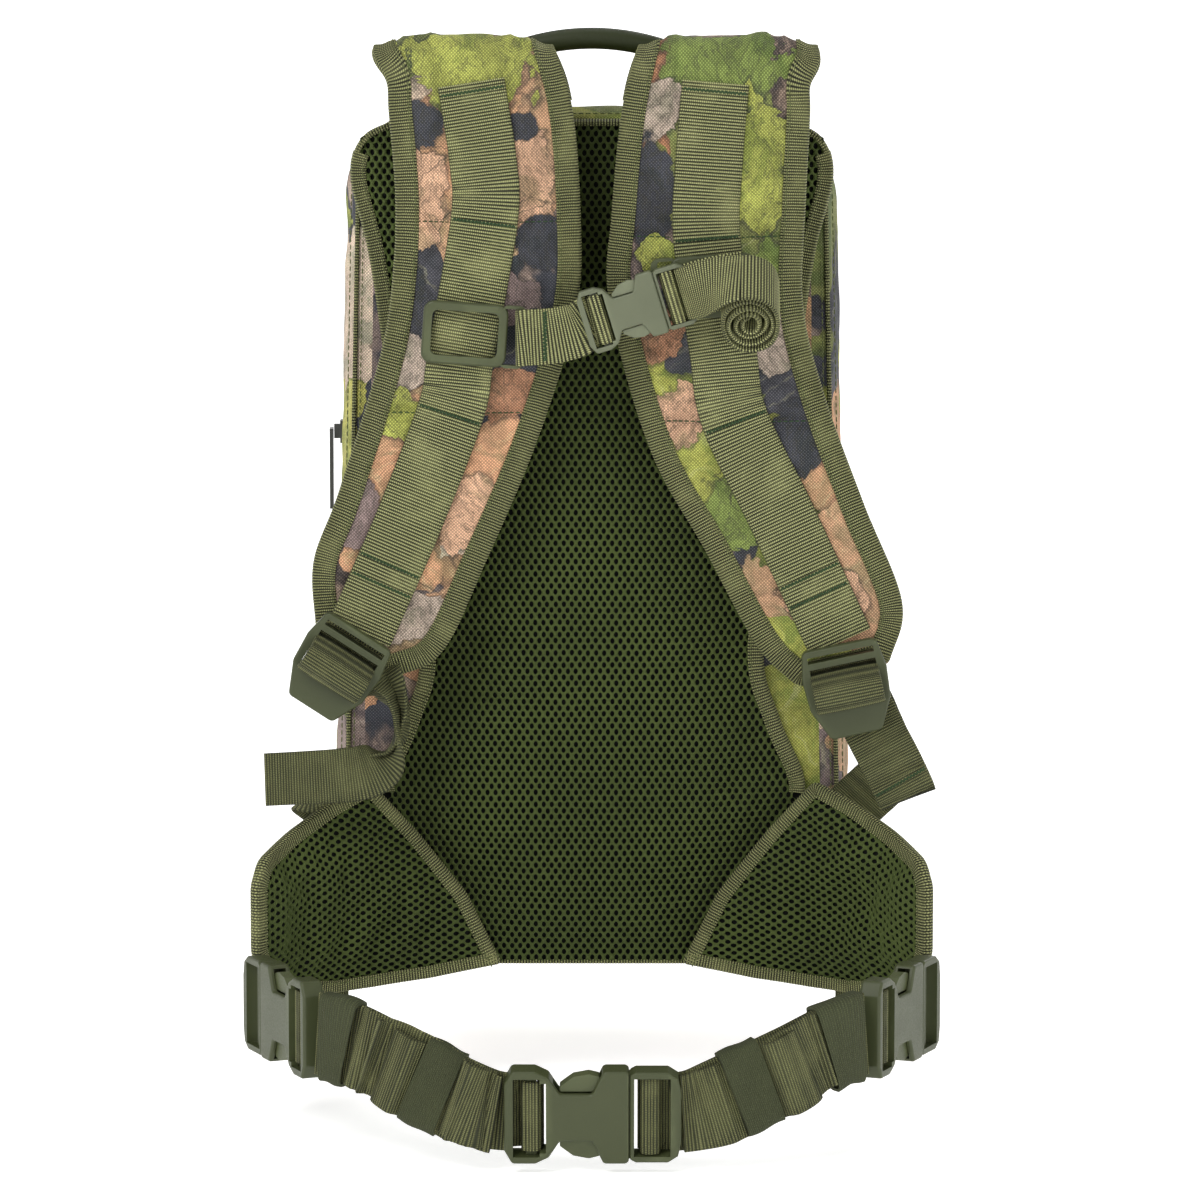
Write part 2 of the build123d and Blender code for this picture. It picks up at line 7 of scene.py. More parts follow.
import bpy
import numpy as np
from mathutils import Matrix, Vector


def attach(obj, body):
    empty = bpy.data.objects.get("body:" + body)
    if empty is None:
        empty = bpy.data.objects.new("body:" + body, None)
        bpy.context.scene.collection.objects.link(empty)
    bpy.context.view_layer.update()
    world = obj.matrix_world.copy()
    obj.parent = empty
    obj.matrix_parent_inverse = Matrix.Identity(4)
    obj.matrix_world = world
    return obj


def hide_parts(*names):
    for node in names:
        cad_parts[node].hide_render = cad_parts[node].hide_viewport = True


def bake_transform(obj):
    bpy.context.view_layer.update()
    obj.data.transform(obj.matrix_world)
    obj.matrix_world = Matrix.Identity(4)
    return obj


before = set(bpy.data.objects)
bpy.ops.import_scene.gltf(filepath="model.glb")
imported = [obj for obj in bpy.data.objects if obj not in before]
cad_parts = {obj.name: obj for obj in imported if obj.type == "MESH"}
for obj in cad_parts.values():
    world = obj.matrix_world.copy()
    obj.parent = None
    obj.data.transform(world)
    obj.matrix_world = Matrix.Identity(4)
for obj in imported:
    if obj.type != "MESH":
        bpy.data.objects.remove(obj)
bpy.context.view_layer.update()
MM = 0.001

# ================================================================ camera, floor and light


def look_at(obj, target):
    """Turn a camera or lamp so that it faces a point."""
    direction = Vector(target) - obj.location
    obj.rotation_euler = direction.to_track_quat("-Z", "Y").to_euler()


CAMERA_PLACE, CAMERA_TARGET = (0.0038, -3.1689, 0.6194), (0.0038, 0, 0.174)
SENSOR_WIDTH, FOCAL_LENGTH = 36, 203.4


def add_camera():
    data = bpy.data.cameras.new("camera")
    camera = bpy.data.objects.new("camera", data)
    bpy.context.scene.collection.objects.link(camera)
    camera.location = CAMERA_PLACE
    look_at(camera, CAMERA_TARGET)
    data.sensor_width = SENSOR_WIDTH
    data.lens = FOCAL_LENGTH
    bpy.context.scene.camera = camera


def add_lamp(name, place, target, size, power):
    data = bpy.data.lights.new(name, "AREA")
    data.shape = "RECTANGLE"
    data.size = data.size_y = size
    data.energy = power
    lamp = bpy.data.objects.new(name, data)
    bpy.context.scene.collection.objects.link(lamp)
    lamp.location = place
    look_at(lamp, target)


# ================================================================ shader helpers


class Shader:
    """A material's node tree, with one-line helpers that return sockets."""

    def __init__(self, name):
        self.material = bpy.data.materials.new(name)
        self.material.use_nodes = True
        self.tree = self.material.node_tree
        self.surface = self.tree.nodes["Principled BSDF"]

    def node(self, kind, inputs=(), **settings):
        made = self.tree.nodes.new(kind)
        for key, value in settings.items():
            setattr(made, key, value)
        for key, value in dict(inputs).items():
            if isinstance(value, bpy.types.NodeSocket):
                self.tree.links.new(value, made.inputs[key])
            else:
                made.inputs[key].default_value = value
        return made

    def math(self, operation, a, b=0.0, clamp=False):
        return self.node("ShaderNodeMath", {0: a, 1: b}, operation=operation, use_clamp=clamp).outputs[0]

    def add(self, a, b):
        return self.math("ADD", a, b)

    def sub(self, a, b):
        return self.math("SUBTRACT", a, b)

    def mul(self, a, b, clamp=False):
        return self.math("MULTIPLY", a, b, clamp)

    def vector(self, operation, a, b=(0, 0, 0)):
        return self.node("ShaderNodeVectorMath", {0: a, 1: b}, operation=operation).outputs[0]

    def length(self, a):
        return self.node("ShaderNodeVectorMath", {0: a}, operation="LENGTH").outputs["Value"]

    def scaled(self, a, factor):
        return self.node("ShaderNodeVectorMath", {0: a, "Scale": factor}, operation="SCALE").outputs[0]

    def split(self, a):
        return self.node("ShaderNodeSeparateXYZ", {0: a}).outputs

    def join(self, x, y, z=0.0):
        return self.node("ShaderNodeCombineXYZ", {0: x, 1: y, 2: z}).outputs[0]

    def mix(self, factor, a, b, blend_type="MIX"):
        made = self.node("ShaderNodeMix", data_type="RGBA", blend_type=blend_type)
        for index, value in ((0, factor), (6, a), (7, b)):
            if isinstance(value, bpy.types.NodeSocket):
                self.tree.links.new(value, made.inputs[index])
            elif isinstance(value, (tuple, list)):
                made.inputs[index].default_value = (*value, 1)
            else:
                made.inputs[index].default_value = value
        return made.outputs[2]

    def shade(self, colour, tone):
        """A colour multiplied by a grey tone."""
        return self.mix(1.0, colour, self.join(tone, tone, tone), "MULTIPLY")

    def noise(self, vector, scale, detail=3.0, roughness=0.55, distortion=0.0):
        inputs = {"Vector": vector, "Scale": scale, "Detail": detail}
        inputs.update({"Roughness": roughness, "Distortion": distortion})
        return self.node("ShaderNodeTexNoise", inputs).outputs

    def ramp(self, factor, stops, interpolation="LINEAR"):
        made = self.node("ShaderNodeValToRGB", {0: factor})
        made.color_ramp.interpolation = interpolation
        elements = made.color_ramp.elements
        while len(elements) < len(stops):
            elements.new(0.5)
        for element, (position, colour) in zip(elements, stops):
            element.position = position
            element.color = (*colour, 1)
        return made.outputs[0]

    def range(self, value, low, high, to_low=0.0, to_high=1.0):
        return self.node(
            "ShaderNodeMapRange",
            {0: value, 1: low, 2: high, 3: to_low, 4: to_high},
            interpolation_type="SMOOTHSTEP",
        ).outputs[0]

    def uv(self):
        return self.node("ShaderNodeUVMap", uv_map="UVMap").outputs[0]

    def place(self):
        return self.node("ShaderNodeTexCoord").outputs["Object"]

    def wave(self, value, pitch, phase=0.0):
        """A sine of 0 to 1 with the given pitch, in the unit of value."""
        turned = self.add(self.mul(value, 2 * math.pi / pitch), phase)
        return self.half(self.math("SINE", turned))

    def half(self, value):
        return self.add(self.mul(value, 0.5), 0.5)

    def finish(self, colour=None, roughness=None, height=None, strength=0.5, distance=0.0004, **fixed):
        if colour is not None:
            self.tree.links.new(colour, self.surface.inputs["Base Color"])
        if isinstance(roughness, bpy.types.NodeSocket):
            self.tree.links.new(roughness, self.surface.inputs["Roughness"])
        elif roughness is not None:
            self.surface.inputs["Roughness"].default_value = roughness
        if height is not None:
            bump = self.node("ShaderNodeBump", {"Strength": strength, "Distance": distance, "Height": height})
            self.tree.links.new(bump.outputs[0], self.surface.inputs["Normal"])
        for name, value in fixed.items():
            self.surface.inputs[name.replace("_", " ")].default_value = value
        return self.material


# ================================================================ materials

CAMO_WEAVE_PITCH = 0.00155
LEAF_SHADOW = (0.016, 0.016, 0.018)


def webbing_material(name, light, dark, pitch, bead, grime=0.12):
    """Ribbed woven tape: ribs of small beads across it, along u of the UV map, with painted shade in the
    grooves between them.
    """
    s = Shader(name)
    u, v, _ = s.split(s.uv())
    rib = s.wave(u, pitch)
    row = s.mul(s.math("PINGPONG", s.math("DIVIDE", u, pitch), 1.0), math.pi)
    beads = s.half(s.math("SINE", s.add(s.mul(v, 2 * math.pi / bead), row)))
    height = s.mul(s.add(s.mul(rib, 0.92), 0.08), s.add(s.mul(beads, 0.62), 0.38))
    patch = s.noise(s.place(), 45.0, 4.0)[0]
    fine = s.noise(s.uv(), 900.0, 2.0)[0]
    # painted shade: by height, the grooves take the dark colour and the crowns the light one
    tone = s.math("POWER", s.mul(height, 1.35, True), 1.9)
    colour = s.mix(tone, dark, light)
    worn = tuple(min(1, c * 1.28) for c in light)
    colour = s.mix(s.mul(s.range(patch, 0.48, 0.72), grime), colour, worn)
    shade = s.add(s.mul(fine, 0.5), 0.75)
    colour = s.shade(colour, shade)
    return s.finish(colour, 0.80, height, 0.9, 0.0009, Specular_IOR_Level=0.3)


def plastic_material(name, colour, rough=0.42, grain=1500.0, gloss=0.5):
    """Moulded plastic: fine spark-eroded grain, faint flow marks and edges rubbed paler."""
    s = Shader(name)
    where = s.place()
    cloudy = s.noise(where, 60.0, 4.0)[0]
    fine = s.noise(where, grain, 2.0)[0]
    pointed = s.node("ShaderNodeNewGeometry").outputs["Pointiness"]
    edge = s.range(pointed, 0.515, 0.56)
    deep = tuple(c * 0.84 for c in colour)
    pale = tuple(min(1, c * 1.55 + 0.01) for c in colour)
    base = s.mix(cloudy, colour, deep)
    base = s.mix(s.mul(edge, s.range(cloudy, 0.35, 0.6, 0.15, 0.55)), base, pale)
    roughness = s.range(s.add(fine, s.mul(cloudy, 0.4)), 0.4, 1.1, rough - 0.08, rough + 0.14)
    return s.finish(base, roughness, fine, 0.25, 0.00012, Specular_IOR_Level=gloss)


def net_material(name, strand, low):
    """Knitted strands of the spacer mesh: twisted yarn, its crowns paler as painted light and its grooves in
    near-black painted shade.
    """
    s = Shader(name)
    u, v, _ = s.split(s.uv())
    where = s.place()
    twist = s.wave(s.add(u, s.mul(v, 1.7)), 0.0006)
    cloudy = s.noise(where, 18.0, 3.0)[0]
    fine = s.noise(where, 1400.0, 2.0)[0]
    # painted light: the twist's crowns take the strand colour, its grooves the near-black low colour
    tone = s.add(s.mul(twist, 0.45), s.mul(fine, 0.5))
    colour = s.mix(tone, low, strand)
    dull = tuple(c * 0.72 for c in strand)
    colour = s.mix(s.mul(s.range(cloudy, 0.4, 0.7), 0.5), colour, dull)
    return s.finish(colour, 0.82, tone, 0.5, 0.0003, Specular_IOR_Level=0.3)


def cloth_material(name, light, dark, pitch=0.0009, rough=0.85):
    """Plain woven cloth, for linings, foam covers and tapes."""
    s = Shader(name)
    u, v, _ = s.split(s.uv())
    warp = s.wave(u, pitch)
    weft = s.wave(v, pitch)
    weave = s.math("ABSOLUTE", s.sub(warp, weft))
    patch = s.noise(s.place(), 30.0, 4.0)[0]
    colour = s.mix(s.mul(s.add(weave, patch), 0.55), dark, light)
    return s.finish(colour, rough, weave, 0.5, 0.0002, Specular_IOR_Level=0.25)


def leaf_layer(s, vector, scale, shift, lobes, fatness, reach=1.75):
    """Scattered leaves, one per cell: (mask, rim shadow, veins, two random numbers, shade along it)."""
    moved = s.vector("ADD", vector, shift)
    spread = {"Vector": moved, "Scale": scale, "Randomness": 0.9}
    cell = s.node("ShaderNodeTexVoronoi", spread, voronoi_dimensions="2D", feature="F1")
    randoms = s.node("ShaderNodeSeparateColor", {0: cell.outputs["Color"]}).outputs
    local = s.vector("SUBTRACT", moved, cell.outputs["Position"])
    turning = {"Vector": local, "Angle": s.mul(randoms[0], 6.283)}
    turned = s.node("ShaderNodeVectorRotate", turning, rotation_type="Z_AXIS").outputs[0]
    along, across, _ = s.split(s.scaled(turned, scale * reach))
    aside = s.math("ABSOLUTE", across)
    body = s.sub(1.0, s.math("POWER", s.math("ABSOLUTE", along), 2.2))
    notch = s.half(s.math("COSINE", s.mul(s.sub(along, s.mul(aside, 0.6)), lobes)))
    width = s.mul(body, s.add(s.mul(notch, fatness * 0.55), fatness * 0.62))
    inside = s.sub(width, aside)
    mask = s.range(inside, 0.0, 0.03)
    shadow = s.range(inside, -0.14, 0.04)
    rib = s.range(aside, 0.012, 0.035, 1.0, 0.0)
    side_rib = s.wave(s.sub(along, s.mul(aside, 0.9)), 0.26)
    veins = s.math("MAXIMUM", rib, s.range(side_rib, 0.93, 1.0, 0.0, 0.7))
    return mask, shadow, veins, randoms[1], randoms[2], along


def camo_material(name, shift=(0.0, 0.0, 0.0), turn=0.0, patches=()):
    """A generic woodland print of leaves over bark, on a coarse plain weave. The UV map is in metres.

    patches are large blots of one leaf colour: (u, v, half width, half height, colour), in mm.
    """
    s = Shader(name)
    uv = s.uv()
    turned = {"Vector": uv, "Location": shift, "Rotation": (0, 0, turn)}
    where = s.node("ShaderNodeMapping", turned).outputs[0]
    bend = s.noise(where, 26.0, 4.0, 0.6)[1]
    where = s.vector("ADD", where, s.scaled(s.vector("SUBTRACT", bend, (0.5, 0.5, 0.5)), 0.034))
    mottled = s.noise(where, 75.0, 5.0, 0.65, 0.5)[0]
    speck = s.noise(where, 420.0, 3.0, 0.7)[0]
    # bark and shadow under everything
    stretched = s.node("ShaderNodeMapping", {"Vector": where, "Scale": (62.0, 15.0, 1.0)}).outputs[0]
    grain = s.noise(stretched, 1.0, 8.0, 0.68, 0.9)[0]
    bark = s.ramp(
        grain,
        [
            (0.36, (0.010, 0.009, 0.010)), (0.43, (0.085, 0.062, 0.050)), (0.50, (0.27, 0.195, 0.145)),
            (0.60, (0.47, 0.36, 0.275)), (0.74, (0.66, 0.56, 0.46)),
        ],
    )
    broad = s.noise(where, 8.0, 2.0)[0]
    gloom = s.range(s.noise(where, 15.0, 3.0, 0.5, 0.6)[0], 0.53, 0.57)
    bark = s.mix(s.range(broad, 0.42, 0.6), bark, s.mix(0.6, bark, (0.20, 0.155, 0.155)))
    night = s.mix(mottled, (0.008, 0.010, 0.016), (0.085, 0.088, 0.105))
    colour = s.mix(gloom, bark, night)

    greens = [
        (0.0, (0.30, 0.31, 0.065)), (0.20, (0.115, 0.135, 0.040)), (0.34, (0.37, 0.35, 0.085)),
        (0.50, (0.17, 0.185, 0.055)), (0.64, (0.46, 0.27, 0.155)), (0.84, (0.55, 0.43, 0.33)),
    ]
    browns = [
        (0.0, (0.50, 0.27, 0.15)), (0.22, (0.052, 0.052, 0.062)), (0.42, (0.56, 0.42, 0.31)),
        (0.62, (0.20, 0.15, 0.145)), (0.80, (0.36, 0.165, 0.085)),
    ]
    layers = [
        (9.5, (0.13, 0.31, 0.0), 9.0, 0.78, browns, 0.46),
        (8.0, (0.57, 0.02, 0.0), 12.0, 0.95, greens, 0.52),
        (13.0, (0.91, 0.44, 0.0), 10.0, 0.66, browns, 0.60),
        (11.5, (0.35, 0.77, 0.0), 11.0, 0.80, greens, 0.66),
    ]
    for scale, offset, lobes, fatness, palette, missing in layers:
        mask, shadow, veins, pick, dim, along = leaf_layer(s, where, scale, offset, lobes, fatness)
        shown = s.range(dim, missing, missing + 0.01)
        leaf = s.ramp(pick, palette, "CONSTANT")
        patchy = s.range(s.noise(where, 34.0 + scale, 4.0, 0.6, 0.8)[0], 0.42, 0.62)
        other = s.mix(1.0, leaf, (0.42, 0.56, 0.50), "MULTIPLY")
        leaf = s.mix(s.mul(patchy, 0.75), leaf, other)
        tone = s.add(s.mul(mottled, 1.3), s.add(s.mul(along, 0.2), 0.38))
        tone = s.mul(tone, s.add(s.mul(speck, 0.9), 0.55))
        leaf = s.shade(leaf, tone)
        vein_share = s.mul(veins, s.range(mottled, 0.4, 0.6, 0.02, 0.26))
        leaf = s.mix(vein_share, leaf, (0.50, 0.48, 0.27))
        colour = s.mix(s.mul(s.mul(shadow, shown), 0.55), colour, LEAF_SHADOW)
        colour = s.mix(s.mul(mask, shown), colour, leaf)
    blot_edge = s.noise(uv, 55.0, 4.0, 0.6, 0.6)
    for u_mid, v_mid, wide, tall, tint in patches:
        local = s.vector("SUBTRACT", uv, (u_mid * MM, v_mid * MM, 0))
        size = s.length(s.vector("MULTIPLY", local, (1 / (wide * MM), 1 / (tall * MM), 0)))
        size = s.add(size, s.mul(s.sub(blot_edge[0], 0.5), 1.6))
        tone = s.add(s.mul(mottled, 1.2), s.mul(speck, 0.7))
        tone = s.add(tone, s.mul(s.sub(grain, 0.5), 1.6))
        blot = s.shade(tint, tone)
        other = s.mix(1.0, blot, (0.55, 0.62, 0.55), "MULTIPLY")
        blot = s.mix(s.range(s.noise(where, 48.0, 3.0)[0], 0.5, 0.62, 0.0, 0.8), blot, other)
        veined = s.noise(s.vector("MULTIPLY", where, (150.0, 55.0, 1.0)), 1.0, 5.0, 0.7, 1.2)[0]
        vein = s.range(s.math("ABSOLUTE", s.sub(veined, 0.5)), 0.0, 0.035, 0.6, 0.0)
        blot = s.mix(vein, blot, (0.035, 0.034, 0.022))
        colour = s.mix(s.range(size, 0.88, 1.02, 0.6, 0.0), colour, LEAF_SHADOW)
        colour = s.mix(s.range(size, 0.84, 0.88, 1.0, 0.0), colour, blot)
    # thin twigs over the leaves
    drawn_out = s.node("ShaderNodeMapping", {"Vector": where, "Scale": (9.0, 26.0, 1.0)}).outputs[0]
    twig = s.noise(drawn_out, 1.0, 2.0)[0]
    line = s.range(s.math("ABSOLUTE", s.sub(twig, 0.5)), 0.0015, 0.005, 0.6, 0.0)
    colour = s.mix(s.mul(line, s.range(broad, 0.5, 0.56)), colour, (0.035, 0.028, 0.022))

    # coarse plain weave: crowns of the threads paler than the gaps between them, with painted shade in the
    # gaps and a painted highlight on the crowns
    u, v, _ = s.split(uv)
    warp = s.wave(s.add(u, v), CAMO_WEAVE_PITCH)
    weft = s.wave(s.sub(u, v), CAMO_WEAVE_PITCH)
    weave = s.mul(warp, weft)
    thread = s.add(s.mul(weave, 1.15), 0.62)
    colour = s.shade(colour, thread)
    # painted highlight: the crowns mixed towards a pale colour
    colour = s.mix(s.mul(s.range(weave, 0.55, 1.0), 0.10), colour, (0.62, 0.58, 0.48))
    return s.finish(colour, 0.78, weave, 0.6, 0.0004, Specular_IOR_Level=0.3)


# webbing tapes: each gives its crown colour, then the painted shade of its grooves
OLIVE_LIGHT = (0.46, 0.47, 0.205)
OLIVE_GROOVE_SHADE = (0.006, 0.007, 0.003)
M_BELT = webbing_material("belt_webbing", (0.225, 0.23, 0.095), (0.020, 0.023, 0.010), 0.00125, 0.00085)
M_WEBBING = webbing_material("webbing", OLIVE_LIGHT, OLIVE_GROOVE_SHADE, 0.0015, 0.00095)
M_BINDING = webbing_material("binding", (0.38, 0.39, 0.165), (0.004, 0.005, 0.002), 0.00135, 0.0009)
M_KEEPER = webbing_material("elastic", (0.078, 0.088, 0.036), (0.036, 0.042, 0.018), 0.0008, 0.0010, 0.1)
YELLOW_GREEN, LEAF_GREEN = (0.31, 0.33, 0.070), (0.165, 0.215, 0.050)
PEACH, RUST = (0.56, 0.34, 0.215), (0.34, 0.170, 0.095)
SLATE, MAUVE, BONE = (0.040, 0.042, 0.052), (0.20, 0.145, 0.135), (0.40, 0.32, 0.255)
M_CAMO = camo_material("camo_body", (0.02, 0.05, 0.0))
M_CAMO_LEFT = camo_material(
    "camo_strap_left",
    (0.31, 0.12, 0.0),
    0.3,
    [
        (-52, 24, 34, 13, MAUVE), (-56, 56, 40, 22, YELLOW_GREEN), (-82, 82, 15, 13, SLATE),
        (-80, 116, 14, 26, PEACH), (-30, 106, 16, 24, PEACH), (-34, 82, 10, 7, SLATE),
        (-24, 137, 13, 14, SLATE), (-84, 158, 10, 20, SLATE), (-38, 160, 16, 14, MAUVE),
        (-88, 190, 14, 14, BONE), (-92, 215, 16, 12, YELLOW_GREEN), (-40, 205, 22, 14, RUST),
        (-108, 262, 12, 18, MAUVE), (-58, 262, 22, 22, PEACH), (-88, 312, 26, 14, BONE),
    ],
)
M_CAMO_RIGHT = camo_material(
    "camo_strap_right",
    (0.63, 0.41, 0.0),
    -0.2,
    [
        (45, 24, 30, 12, MAUVE), (60, 56, 38, 20, LEAF_GREEN), (28, 76, 14, 16, BONE),
        (76, 100, 20, 34, YELLOW_GREEN), (27, 112, 14, 26, SLATE), (32, 142, 12, 10, YELLOW_GREEN),
        (84, 150, 14, 18, LEAF_GREEN), (26, 176, 18, 16, RUST), (84, 182, 14, 18, BONE),
        (44, 214, 16, 16, PEACH), (98, 226, 18, 18, SLATE), (70, 262, 24, 18, LEAF_GREEN),
        (110, 300, 26, 14, PEACH),
    ],
)
# the net's strand colour, then the near-black painted shade in its twist
M_NET = net_material("spacer_mesh", (0.103, 0.141, 0.031), (0.006, 0.010, 0.002))
# painted shade: near-black backing of the pads under the nets, for the shade seen through their holes
M_UNDER_NET_SHADE = cloth_material("mesh_backing_painted_shade", (0.0030, 0.0040, 0.0018), (0.0010, 0.0012, 0.0008))
M_LINING = cloth_material("lining", (0.060, 0.072, 0.030), (0.020, 0.024, 0.010))
M_PLASTIC = plastic_material("buckle_plastic", (0.048, 0.057, 0.021), 0.44, 1500.0, 0.35)
M_PLASTIC_GREY = plastic_material("chest_plastic", (0.112, 0.125, 0.072), 0.42, 1500.0, 0.4)
M_RUBBER = plastic_material("handle_rubber", (0.019, 0.025, 0.005), 0.5, 700.0, 0.25)
M_THREAD = cloth_material("thread", (0.050, 0.095, 0.040), (0.020, 0.040, 0.016), 0.0004)
M_THREAD_OLIVE = cloth_material("thread_olive", (0.16, 0.18, 0.075), (0.05, 0.06, 0.02), 0.0004)
M_ZIP = cloth_material("zip_tape", (0.045, 0.055, 0.022), (0.014, 0.018, 0.007), 0.0006)
M_COIL = plastic_material("zip_coil", (0.030, 0.036, 0.016), 0.35, 2500.0)
M_METAL = plastic_material("zip_pull", (0.020, 0.021, 0.018), 0.34, 2500.0)

# ================================================================ mesh helpers


def travel_along(points):
    """How far along a line each of its points is."""
    return np.concatenate([[0], np.cumsum(np.linalg.norm(np.diff(points, axis=0), axis=1))])


def resample(points, spacing):
    """The same line with points at an even distance."""
    length = travel_along(points)
    count = max(2, int(round(length[-1] / spacing)) + 1)
    wanted = np.linspace(0, length[-1], count)
    return np.stack([np.interp(wanted, length, column) for column in points.T], axis=1)


def smooth_path(points, spacing):
    """An evenly spaced Catmull-Rom line through the points."""
    p = np.array(points, float)
    if len(p) > 2:
        ends = np.vstack([2 * p[0] - p[1], p, 2 * p[-1] - p[-2]])
        t = np.linspace(0, 1, 24, endpoint=False)[:, None]
        spans = [
            0.5 * (2 * b + (c - a) * t + (2 * a - 5 * b + 4 * c - d) * t**2 + (3 * b - a - 3 * c + d) * t**3)
            for a, b, c, d in zip(ends, ends[1:], ends[2:], ends[3:])
        ]
        p = np.vstack(spans + [p[-1:]])
    return resample(p, spacing)


def unit(vectors):
    return vectors / np.maximum(np.linalg.norm(vectors, axis=-1, keepdims=True), 1e-9)


def field(points, size, seed, octaves=2):
    """A smooth random field of about -1 to 1, with features of about size mm."""
    rng = np.random.default_rng(seed)
    points = np.asarray(points, float)
    total = np.zeros(points.shape[:-1])
    for octave in range(octaves):
        for _ in range(6):
            direction = unit(rng.normal(size=points.shape[-1]))
            frequency = 2 * math.pi / size * 2**octave * rng.uniform(0.6, 1.3)
            total += 0.5**octave * np.sin(points @ direction * frequency + rng.uniform(0, 2 * math.pi))
    return total / 3.0


def step(value, low, high):
    t = np.clip((value - low) / (high - low), 0, 1)
    return t * t * (3 - 2 * t)


def grid_faces(rows, columns, start=0, flip=False):
    r = np.arange(rows - 1)[:, None]
    c = np.arange(columns - 1)[None, :]
    a = r * columns + c + start
    quads = np.stack([a, a + 1, a + columns + 1, a + columns], -1).reshape(-1, 4)
    return quads[:, ::-1] if flip else quads


TOP_DROOP = 12.5


class Batch:
    """Vertices, faces and UVs gathered into one object."""

    def __init__(self):
        self.points, self.uvs, self.faces, self.count = [], [], [], 0

    def add(self, points, faces, uvs=None):
        points = np.asarray(points, float).reshape(-1, 3)
        uvs = points[:, :2] if uvs is None else np.asarray(uvs, float).reshape(-1, 2)
        self.points.append(points)
        self.uvs.append(uvs)
        self.faces.extend([tuple(int(i) + self.count for i in face) for face in faces])
        self.count += len(points)

    def droop(self):
        """Let the top of the pack fall away towards the lid."""
        for points in self.points:
            points[:, 2] -= TOP_DROOP * step(points[:, 2], 300, 400) * step(points[:, 1], 14, 100)

    def build(self, name, material, slot, body=None, replaces=(), blend=None):
        mesh = bpy.data.meshes.new(name)
        mesh.from_pydata((np.vstack(self.points) * MM).tolist(), [], self.faces)
        layer = mesh.uv_layers.new(name="UVMap")
        corner = np.empty(len(mesh.loops), np.int32)
        mesh.loops.foreach_get("vertex_index", corner)
        layer.data.foreach_set("uv", (np.vstack(self.uvs)[corner] * MM).astype(np.float32).ravel())
        mesh.materials.append(material)
        mesh.polygons.foreach_set("use_smooth", np.ones(len(mesh.polygons), bool))
        mesh.update()
        obj = bpy.data.objects.new(name, mesh)
        bpy.context.scene.collection.objects.link(obj)
        if blend:
            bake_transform(obj)
        else:
            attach(obj, body)
        if replaces:
            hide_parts(*replaces)
        return obj


def add_strip(
    batch, path, across, width, thick=1.5, rib=1.5, depth=0.3, cup=0.0, spacing=0.38, columns=13, smooth=True,
):
    """A flat woven strip along a path. across is one direction, or one for each of the path's points."""
    controls = np.array(path, float)
    line = smooth_path(controls, spacing) if smooth else resample(controls, spacing)
    travelled = travel_along(line)
    share = np.linspace(0, 1, len(line))
    reached = None
    if len(controls) < 40:
        reached = np.array([np.argmin(((line - c) ** 2).sum(1)) for c in controls]) / (len(line) - 1)

    def spread(values):
        """Values at the path's points, or evenly spaced ones, carried to every row."""
        values = np.atleast_2d(np.array(values, float).T).T
        fits = reached is not None and len(values) == len(controls)
        at = np.maximum.accumulate(reached if fits else np.linspace(0, 1, len(values)))
        return np.stack([np.interp(share, at, column) for column in values.T], axis=1)

    across = np.array(across, float)
    sideways = np.tile(across, (len(line), 1)) if across.ndim == 1 else spread(across)
    widths = spread(np.atleast_1d(width))[:, 0]
    ahead = unit(np.gradient(line, axis=0))
    normal = unit(np.cross(ahead, sideways))
    sideways = unit(np.cross(normal, ahead))
    v = np.linspace(-0.5, 0.5, columns)
    half = thick / 2
    loop = [(x, half, 1) for x in v] + [(0.5, 0, 0)] + [(x, -half, -1) for x in v[::-1]] + [(-0.5, 0, 0)]
    loop.append(loop[0])
    where, height, face = np.array(loop).T
    ribs = 0.5 + 0.5 * np.sin(2 * math.pi * travelled[:, None] / rib)
    rise = height[None, :] + face[None, :] * depth * ribs
    rise = rise + cup * (1 - 4 * where[None, :] ** 2)
    out = np.where(np.abs(face) < 0.5, np.sign(where) * thick * 0.35, 0)
    shift = where[None, :] * widths[:, None] + out[None, :]
    points = line[:, None, :] + sideways[:, None, :] * shift[..., None] + normal[:, None, :] * rise[..., None]
    rows, columns_all = points.shape[:2]
    flat = shift + np.where(face < 0, widths.mean(), 0)[None, :]
    uvs = np.stack([np.tile(travelled[:, None], (1, columns_all)), flat], -1)
    faces = grid_faces(rows, columns_all).tolist()
    last = (rows - 1) * columns_all
    # each end is closed by quads between the two sides
    for base, turn in ((0, 1), (last, -1)):
        for j in range(columns - 1):
            quad = [base + j, base + j + 1, base + 2 * columns - j - 1, base + 2 * columns - j]
            faces.append(quad[::turn])
    batch.add(points, faces, uvs)
    return line, ahead, sideways, normal


def add_tube(batch, path, radius, sides=8, spacing=1.0, smooth=True, closed=False):
    """A round cord along a path."""
    line = smooth_path(path, spacing) if smooth else resample(np.array(path, float), spacing)
    ahead = unit(np.gradient(line, axis=0))
    side = np.empty_like(ahead)
    side[0] = unit(np.cross(ahead[0], (0.3, 0.5, 0.81)))
    for i in range(1, len(line)):
        side[i] = unit(side[i - 1] - ahead[i] * (side[i - 1] @ ahead[i]))
    other = np.cross(ahead, side)
    angle = np.linspace(0, 2 * math.pi, sides + 1)
    ring = side[:, None] * np.cos(angle)[None, :, None] + other[:, None] * np.sin(angle)[None, :, None]
    points = line[:, None] + ring * radius
    travelled = travel_along(line)
    uvs = np.stack(np.broadcast_arrays(travelled[:, None], angle[None, :] * radius), -1)
    faces = grid_faces(len(line), sides + 1).tolist()
    if not closed:
        last = (len(line) - 1) * (sides + 1)
        faces.append(list(range(sides))[::-1])
        faces.append([last + k for k in range(sides)])
    batch.add(points, faces, uvs)


